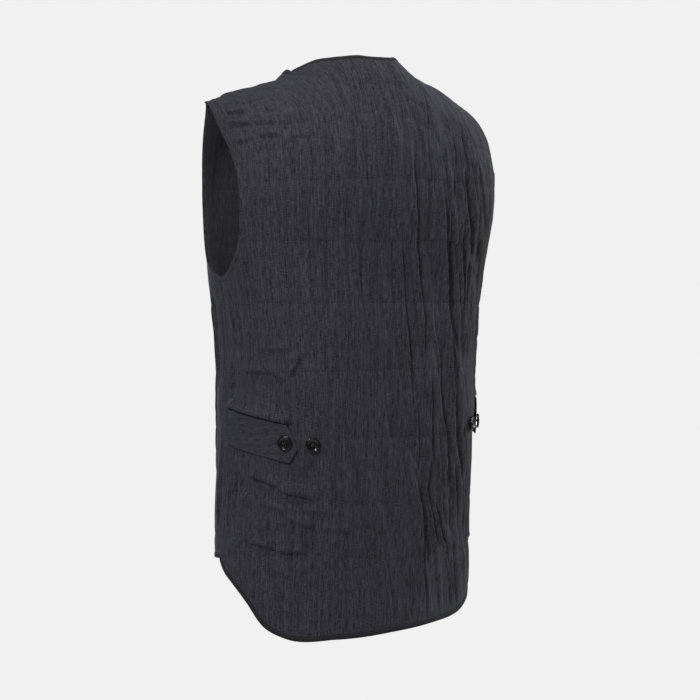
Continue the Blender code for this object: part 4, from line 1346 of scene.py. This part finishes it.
def place_frames(girth, rise, out):
    """The point and the three directions of something that lies on the cloth at a girth and rise."""
    girth, rise = np.array([float(girth)]), np.array([float(rise)])
    normal = outward(girth, rise)[0]
    up = unit(on_form(girth, rise + NEAR)[0] - on_form(girth, rise - NEAR)[0])
    across = unit(np.cross(up, normal))
    up = np.cross(normal, across)
    return on_form(girth, rise)[0] + normal * out, across, up, normal


def thread_bars(radius):
    """Two crossed bars of thread between a button's holes, each three strands that arch over the face."""
    strands = []
    corners = [(HOLE_PLACE * radius * cos(turn), HOLE_PLACE * radius * sin(turn)) for turn in HOLE_TURNS]
    for first, second in ((0, 2), (1, 3)):
        start, stop = np.array(corners[first]), np.array(corners[second])
        side = np.array([-(stop - start)[1], (stop - start)[0]]) / np.linalg.norm(stop - start)
        for shift in (-STRAND_GAP, 0.0, STRAND_GAP):
            share = np.linspace(0, 1, 9)[:, None]
            flat = start + (stop - start) * share + side * shift
            arch = np.sin(pi * share) ** 0.5
            lift = BAR_HEIGHT + (0.00055 + 0.00025 * first) * arch - 0.0006 * (1 - arch)
            strands.append(np.hstack([flat, lift]))
    return strands


def strand_points(line, radius, sides=7):
    """A round strand: a circle carried along a line."""
    goes = unit(np.gradient(line, axis=0))
    side = unit(np.cross(goes, [0.0, 0.0, 1.0]) + 1e-9)
    up = np.cross(side, goes)
    turns = np.linspace(0, 2 * pi, sides + 1)[:-1]
    ring = np.cos(turns)[None, :, None] * side[:, None] + np.sin(turns)[None, :, None] * up[:, None]
    return line[:, None] + radius * ring


def joined_tubes(name, tubes):
    """Several tubes with flat ends as one mesh."""
    points, faces, pairs, start = [], [], [], 0
    for tube in tubes:
        rows, columns = tube.shape[:2]
        index = start + np.arange(rows * columns).reshape(rows, columns)
        faces += tube_faces(index)
        points.append(tube.reshape(-1, 3))
        v = length_along(tube[:, 0])
        u = np.linspace(0, 0.001, columns)
        pairs.append(np.stack(np.broadcast_arrays(u[None], v[:, None]), -1).reshape(-1, 2))
        start += rows * columns
    return new_mesh(name, np.concatenate(points), faces, {"cloth": np.concatenate(pairs)})


class VEST_OT_buttons(bpy.types.Operator):
    """The nine buttons, their thread and their shanks"""

    bl_idname = "vest.buttons"
    bl_label = "Buttons"

    def execute(self, context):
        radius = context.scene.vest_sewing.button_radius
        on_tab = TAB_STAND + TAB_BULGE / 2 + TAB_CLOTH + BUTTON_STAND
        kinds = (("tab", TAB_BUTTON, on_tab), ("body", BODY_BUTTON, BUTTON_STAND))
        spots = []
        for side, tab in TABS.items():
            for kind, (girth, rise), out in kinds:
                girth, rise = tab.side * (girth + tab.short), rise + tab.shift
                spots.append((f"{kind}_button_{side}", girth, rise, out, TAB_SHANK))
        for number in range(FRONT_BUTTONS):
            rise = TOP_BUTTON_RISE - number * FRONT_BUTTON_STEP
            out = OVERLAP_LIFT + BUTTON_STAND
            spots.append((f"front_button_{number + 1}", FRONT_GIRTH, rise, out, FRONT_SHANK))
        disc = button_grid(radius)
        faces = tube_faces(np.arange(disc.shape[0] * disc.shape[1]).reshape(disc.shape[:2]))
        for number, (name, girth, rise, out, shank) in enumerate(spots):
            origin, across, up, normal = place_frames(girth, rise, out)
            spin = 0.35 + 1.9 * number
            first, second = across * cos(spin) + up * sin(spin), up * cos(spin) - across * sin(spin)
            axes = np.stack([first, second, normal])
            mesh = new_mesh(name + "_turned", origin + disc @ axes, faces, {"cloth": disc[..., :2]})
            finish(name + "_turned", mesh, material("button_black"), [name])
            tubes = [strand_points(line, BAR_STRAND) for line in thread_bars(radius)]
            turns, heights = np.linspace(0, 2 * pi * 5, 90), np.linspace(-shank, 0.0003, 90)
            coil = np.stack([SHANK_RADIUS * np.cos(turns), SHANK_RADIUS * np.sin(turns), heights], -1)
            tubes.append(strand_points(coil, SHANK_STRAND, 6))
            mesh = joined_tubes(name + "_thread", [origin + tube @ axes for tube in tubes])
            finish(name + "_thread", mesh, material("black_thread"))
        return {"FINISHED"}


# ---- stitches: a stitch's way along, its thickness and its height, as shares of its length and radius ----
Spindle = namedtuple("Spindle", "along thick out")
STITCH = (
    Spindle(-0.50, 0.55, -0.90),
    Spindle(-0.34, 0.95, 0.10),
    Spindle(0.00, 1.00, 0.35),
    Spindle(0.34, 0.95, 0.10),
    Spindle(0.50, 0.55, -0.90),
)
QUILT_THREAD = 0.00017
EDGE_THREAD = 0.00015
STITCH_CLEAR = 0.0030
STITCH_INSET = 0.0022
STITCH_PAST = 0.0004
STITCH_OUT = 0.00060
SLIT_FROM_BUTTON = (0.0062, 0.0012)
SLIT_HALF = 0.0082
SLIT_WINDS = 46
SLIT_THREAD = 0.00028


def stitch_mesh(name, centres, goes, normals, length, radius):
    """Many stitches as one mesh: each is a small five-sided spindle, its ends drawn down into the cloth."""
    along, thick, out = np.array(STITCH).T
    sides = np.cross(goes, normals)
    turns = np.linspace(0, 2 * pi, 6)[:-1]
    ring = np.cos(turns)[None, :, None] * sides[:, None] + np.sin(turns)[None, :, None] * normals[:, None]
    line = centres[:, None] + goes[:, None] * (along * length)[None, :, None]
    line = line + normals[:, None] * (out * radius)[None, :, None]
    points = line[:, :, None] + ring[:, None] * (thick * radius)[None, :, None, None]
    count, rows, columns = points.shape[:3]
    index = np.arange(rows * columns).reshape(rows, columns)
    quads = np.array(cells(np.hstack([index, index[:, :1]])))
    starts = (np.arange(count) * rows * columns)[:, None, None]
    faces = (quads[None] + starts).reshape(-1, 4).tolist()
    faces += (index[0, ::-1][None] + starts[:, 0]).tolist() + (index[-1][None] + starts[:, 0]).tolist()
    v = np.broadcast_to((along * length)[None, :, None], points.shape[:3])
    u = np.broadcast_to((turns / 2 / pi * 0.001)[None, None], points.shape[:3])
    return new_mesh(name, points, faces, {"cloth": np.stack([u, v], -1)})


def stitch_run(spots, normals, pitch, lift=0.0):
    """Stitches at even steps along a line of points: their middles, their ways along and their normals."""
    at, along = even_out(spots, pitch)
    at = (at[1:] + at[:-1]) / 2
    middle, normal = read_line(at, along, spots), unit(read_line(at, along, normals))
    goes = unit(read_line(at, along, np.gradient(spots, along, axis=0)))
    normal = unit(normal - goes * (normal * goes).sum(-1, keepdims=True))
    return middle + normal * lift, goes, normal


def edge_run(line, lap, side, pitch, ring=False):
    """Stitches along a bound edge: on its tape's face, just past the cloth's raw edge."""
    spots, normals, goes, _ = edge_frames(line, lap, ring)
    away = side * np.cross(normals, goes)
    return stitch_run(spots + away * STITCH_PAST + normals * STITCH_OUT, normals, pitch)


def lay_stitches(name, runs, length, radius):
    """Joins runs of stitches into one piece."""
    parts = [np.concatenate(group) for group in zip(*runs)]
    return finish(name, stitch_mesh(name, *parts, length, radius), material("thread"))


def on_panels(girth, rise):
    """True where the cloth is: above the hem, outside the armholes, below the necklines, 3 mm from each."""
    hem, (behind, before), edge = hem_line(), armhole_line(), front_edge(np.linspace(0, 1, 361))
    low = np.interp(girth, hem[:, 0], hem[:, 1])
    back_limit = np.interp(rise, behind[:, 1], behind[:, 0])
    front_limit = np.interp(rise, before[::-1, 1], before[::-1, 0])
    hole = (rise > SIDE_SEAM[-1].rise) & (np.abs(girth) > back_limit) & (np.abs(girth) < front_limit)
    neck = np.abs(girth) > np.interp(rise, edge[:, 1], edge[:, 0]) - STITCH_CLEAR
    near = nearest(girth, rise, BOUND_EDGES) < STITCH_CLEAR
    return (rise > low) & ~hole & ~neck & ~near


def strap_run(tab, pitch):
    """Stitches inside a strap's edge: out along its top, down its end and back along its foot."""
    share, far = np.linspace(0, 1, 200), 1 - STITCH_INSET / TAB_STITCHED
    top, low = STITCH_INSET / TAB_WIDTH, 1 - STITCH_INSET / TAB_WIDTH
    along = np.concatenate([share * far, np.full(200, far), share[::-1] * far])
    down = np.concatenate([np.full(200, top), np.linspace(top, low, 200), np.full(200, low)])
    girth, rise, stand = tab_surface(tab, along, down)
    normals = outward(girth, rise)
    spots = on_form(girth, rise) + normals * (stand + TAB_CLOTH + 0.00012)[:, None]
    keep = np.append(True, np.linalg.norm(np.diff(spots, axis=0), axis=1) > 1e-6)
    return stitch_run(spots[keep], normals[keep], pitch)


def buttonhole(tab):
    """Close-set whipping round a slit: a strand that winds over the slit's long oval."""
    sign, shift, short, _ = tab
    middle_girth = TAB_BUTTON[0] + short + SLIT_FROM_BUTTON[0]
    middle_rise = TAB_BUTTON[1] + shift + SLIT_FROM_BUTTON[1]
    turns = np.linspace(0, 2 * pi, 721)
    wind = turns * SLIT_WINDS
    wide = 0.0012 + 0.0008 * np.cos(wind)
    across = np.clip(np.cos(turns) * 1.6, -1, 1) * SLIT_HALF + wide * np.cos(turns)
    up = wide * np.sign(np.sin(turns)) * np.abs(np.sin(turns)) ** 0.6
    girth, rise = middle_girth + across, middle_rise + up + 0.17 * across
    along = (TAB_ROOT_GIRTH - girth) / (TAB_ROOT_GIRTH - TAB_END[2].girth - short)
    down = (TAB_ROOT_RISE + shift - tab_drop(girth) - rise) / TAB_WIDTH
    stand = tab_surface(tab, along, down)[2] + TAB_CLOTH + 0.00016 + 0.00020 * np.sin(wind)
    spots = on_form(sign * girth, rise) + outward(sign * girth, rise) * stand[:, None]
    return strand_points(spots, SLIT_THREAD, 5)


class VEST_OT_stitching(bpy.types.Operator):
    """The stitches of the quilting, the bindings and the straps, and the buttonholes"""

    bl_idname = "vest.stitching"
    bl_label = "Stitching"

    def execute(self, context):
        sewing = context.scene.vest_sewing
        self.quilting(sewing.quilt_stitch)
        self.edges(sewing.edge_stitch)
        self.straps(sewing.edge_stitch)
        return {"FINISHED"}

    def quilting(self, pitch):
        """Sews each quilting line where it lies on cloth."""
        runs = []
        for line in QUILT_LINES:
            girth = np.linspace(-0.50, 0.50, 1401)
            rise = quilt_rise(line, girth)
            keep = on_panels(girth, rise)
            for part in np.split(np.arange(len(girth)), np.where(~keep)[0]):
                part = part[keep[part]]
                if len(part) < 12:
                    continue
                spots = on_cloth(girth[part], rise[part])
                runs.append(stitch_run(spots, outward(girth[part], rise[part]), pitch, 0.00002))
        lay_stitches("quilting_stitches", runs, pitch * 0.70, QUILT_THREAD)

    def edges(self, pitch):
        """Sews the tapes of the hem, the neck and fronts, and the armholes."""
        hem, neck = hem_line(), np.concatenate(neck_line())
        runs = [edge_run(line, lap_lift(line[:, 0]), side, pitch) for line, side in ((hem, 1), (neck, -1))]
        lay_stitches("binding_stitches", runs, pitch * 0.68, EDGE_THREAD)
        armhole = np.concatenate(armhole_line())
        runs = [edge_run(armhole * (sign, 1), 0 * armhole[:, 0], -sign, pitch, True) for sign in (1, -1)]
        lay_stitches("armhole_stitches", runs, pitch * 0.68, EDGE_THREAD)

    def straps(self, pitch):
        """Sews round the straps, and whips their buttonholes."""
        runs = [strap_run(tab, pitch) for tab in TABS.values()]
        lay_stitches("tab_stitches", runs, pitch * 0.66, EDGE_THREAD)
        mesh = joined_tubes("tab_buttonholes", [buttonhole(tab) for tab in TABS.values()])
        finish("tab_buttonholes", mesh, material("black_thread"))


# ---------------------------------------------------------------- the stage
MIDDLE = Vector((0, 0.022, -0.328))
CAMERA_TURN = radians(30)  # to the wearer's left of straight behind
CAMERA_DISTANCE = 3.2
CAMERA_LENS = 133.8
CAMERA_SHIFT = (0.0064, -0.0043)
FLOOR_DARK = (0.80, 0.80, 0.80)
FLOOR_PALE = (0.84, 0.84, 0.84)
Light = namedtuple("Light", "name azimuth elevation distance width height power")
LIGHTS = (
    Light("key", 128, 28, 2.6, 0.35, 0.6, 38),
    Light("top", 160, 68, 2.2, 0.70, 0.5, 18),
    Light("rim", 262, 14, 2.2, 0.50, 1.6, 28),
    Light("front", 345, 4, 2.6, 1.40, 1.0, 34),
)


def soft_box(row, strength):
    """A large rectangular light that looks at the vest's middle; azimuth counts from the front, towards the
    wearer's left."""
    light = bpy.data.lights.new(row.name, "AREA")
    light.shape, light.size, light.size_y = "RECTANGLE", row.width, row.height
    light.energy = row.power * strength
    made = bpy.data.objects.new(row.name, light)
    turn, lift = radians(row.azimuth), radians(row.elevation)
    way = Vector((sin(turn) * cos(lift), -cos(turn) * cos(lift), sin(lift)))
    made.location = MIDDLE + way * row.distance
    made.rotation_euler = (-way).to_track_quat("-Z", "Y").to_euler()
    made.visible_camera = False
    bpy.context.scene.collection.objects.link(made)


class VEST_OT_stage(bpy.types.Operator):
    """The camera, the soft lights, the pale backdrop and the floor"""

    bl_idname = "vest.stage"
    bl_label = "Stage"

    def execute(self, context):
        scene, look = context.scene, context.scene.vest_stage
        camera = bpy.data.cameras.new("camera")
        camera.sensor_width, camera.lens = 36.0, CAMERA_LENS
        camera.shift_x, camera.shift_y = CAMERA_SHIFT
        camera.clip_end = 60
        eye = bpy.data.objects.new("camera", camera)
        way = Vector((sin(CAMERA_TURN), cos(CAMERA_TURN), 0))
        eye.location = MIDDLE + way * CAMERA_DISTANCE
        eye.rotation_euler = (-way).to_track_quat("-Z", "Y").to_euler()
        scene.collection.objects.link(eye)
        scene.camera = eye
        scene.view_settings.view_transform = "Standard"

        world = bpy.data.worlds.new("studio")
        world.use_nodes = True
        add, join = nodes_of(world.node_tree)
        base = world.node_tree.nodes["Background"]
        base.inputs["Color"].default_value = (1, 1, 1, 1)
        base.inputs["Strength"].default_value = look.ambient
        seen = add("ShaderNodeBackground", Color=(look.backdrop, look.backdrop, look.backdrop, 1))
        path, mix = add("ShaderNodeLightPath"), add("ShaderNodeMixShader")
        join(path.outputs["Is Camera Ray"], mix.inputs[0])
        join(base.outputs[0], mix.inputs[1])
        join(seen.outputs[0], mix.inputs[2])
        join(mix.outputs[0], world.node_tree.nodes["World Output"].inputs["Surface"])
        scene.world = world

        for row in LIGHTS:
            soft_box(row, look.light)

        turns = np.linspace(0, 2 * pi, 97)[:-1]
        out = np.array([0.02, 0.5, 1.0, 1.8, 2.6])
        x, y = out[:, None] * np.cos(turns), out[:, None] * np.sin(turns)
        points = np.stack([x, y, np.full(x.shape, look.floor_height)], -1)
        index = np.arange(points.shape[0] * points.shape[1]).reshape(points.shape[:2])
        faces = cells(np.hstack([index, index[:, :1]])) + [index[0].tolist()]
        mesh = new_mesh("floor", points, faces, {"cloth": points[..., :2]})
        paint, shader, add, join = new_material("pale_floor", Roughness=0.7)
        place = add("ShaderNodeTexCoord")
        grain = add("ShaderNodeTexNoise", Scale=3.0, Detail=2.0)
        join(place.outputs["Object"], grain.inputs["Vector"])
        mix_colours(add, join, grain.outputs["Fac"], FLOOR_DARK, FLOOR_PALE, shader.inputs["Base Color"])
        mesh.materials.append(paint)
        floor = bpy.data.objects.new("floor", mesh)
        scene.collection.objects.link(floor)
        return {"FINISHED"}


class VEST_PT_sidebar(bpy.types.Panel):
    """Lists the vest's sizes, colours and steps"""

    bl_idname = "VEST_PT_sidebar"
    bl_label = "Quilted vest"
    bl_space_type = "VIEW_3D"
    bl_region_type = "UI"
    bl_category = "Quilted vest"

    def draw(self, context):
        scene, layout = context.scene, self.layout
        for group in (scene.vest_cloth, scene.vest_sewing, scene.vest_stage):
            box = layout.box()
            for name in group.bl_rna.properties.keys():
                if name not in ("rna_type", "name"):
                    box.prop(group, name)
        for operator in OPERATORS:
            layout.operator(operator.bl_idname)


GROUPS = {"vest_cloth": VestCloth, "vest_sewing": VestSewing, "vest_stage": VestStage}
OPERATORS = (
    VEST_OT_stage,
    VEST_OT_panels,
    VEST_OT_bindings,
    VEST_OT_tabs,
    VEST_OT_buttons,
    VEST_OT_stitching,
)


def register():
    """Registers the classes and puts the settings on the scene."""
    for group in (*GROUPS.values(), *OPERATORS, VEST_PT_sidebar):
        bpy.utils.register_class(group)
    for name, group in GROUPS.items():
        setattr(bpy.types.Scene, name, bpy.props.PointerProperty(type=group))


def unregister():
    """Takes the settings and the classes away again."""
    for name in GROUPS:
        delattr(bpy.types.Scene, name)
    for group in (VEST_PT_sidebar, *OPERATORS[::-1], *list(GROUPS.values())[::-1]):
        bpy.utils.unregister_class(group)


def main():
    """Registers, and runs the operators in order."""
    register()
    for operator in OPERATORS:
        getattr(bpy.ops.vest, operator.bl_idname.split(".")[1])()


if __name__ == "__main__":
    main()
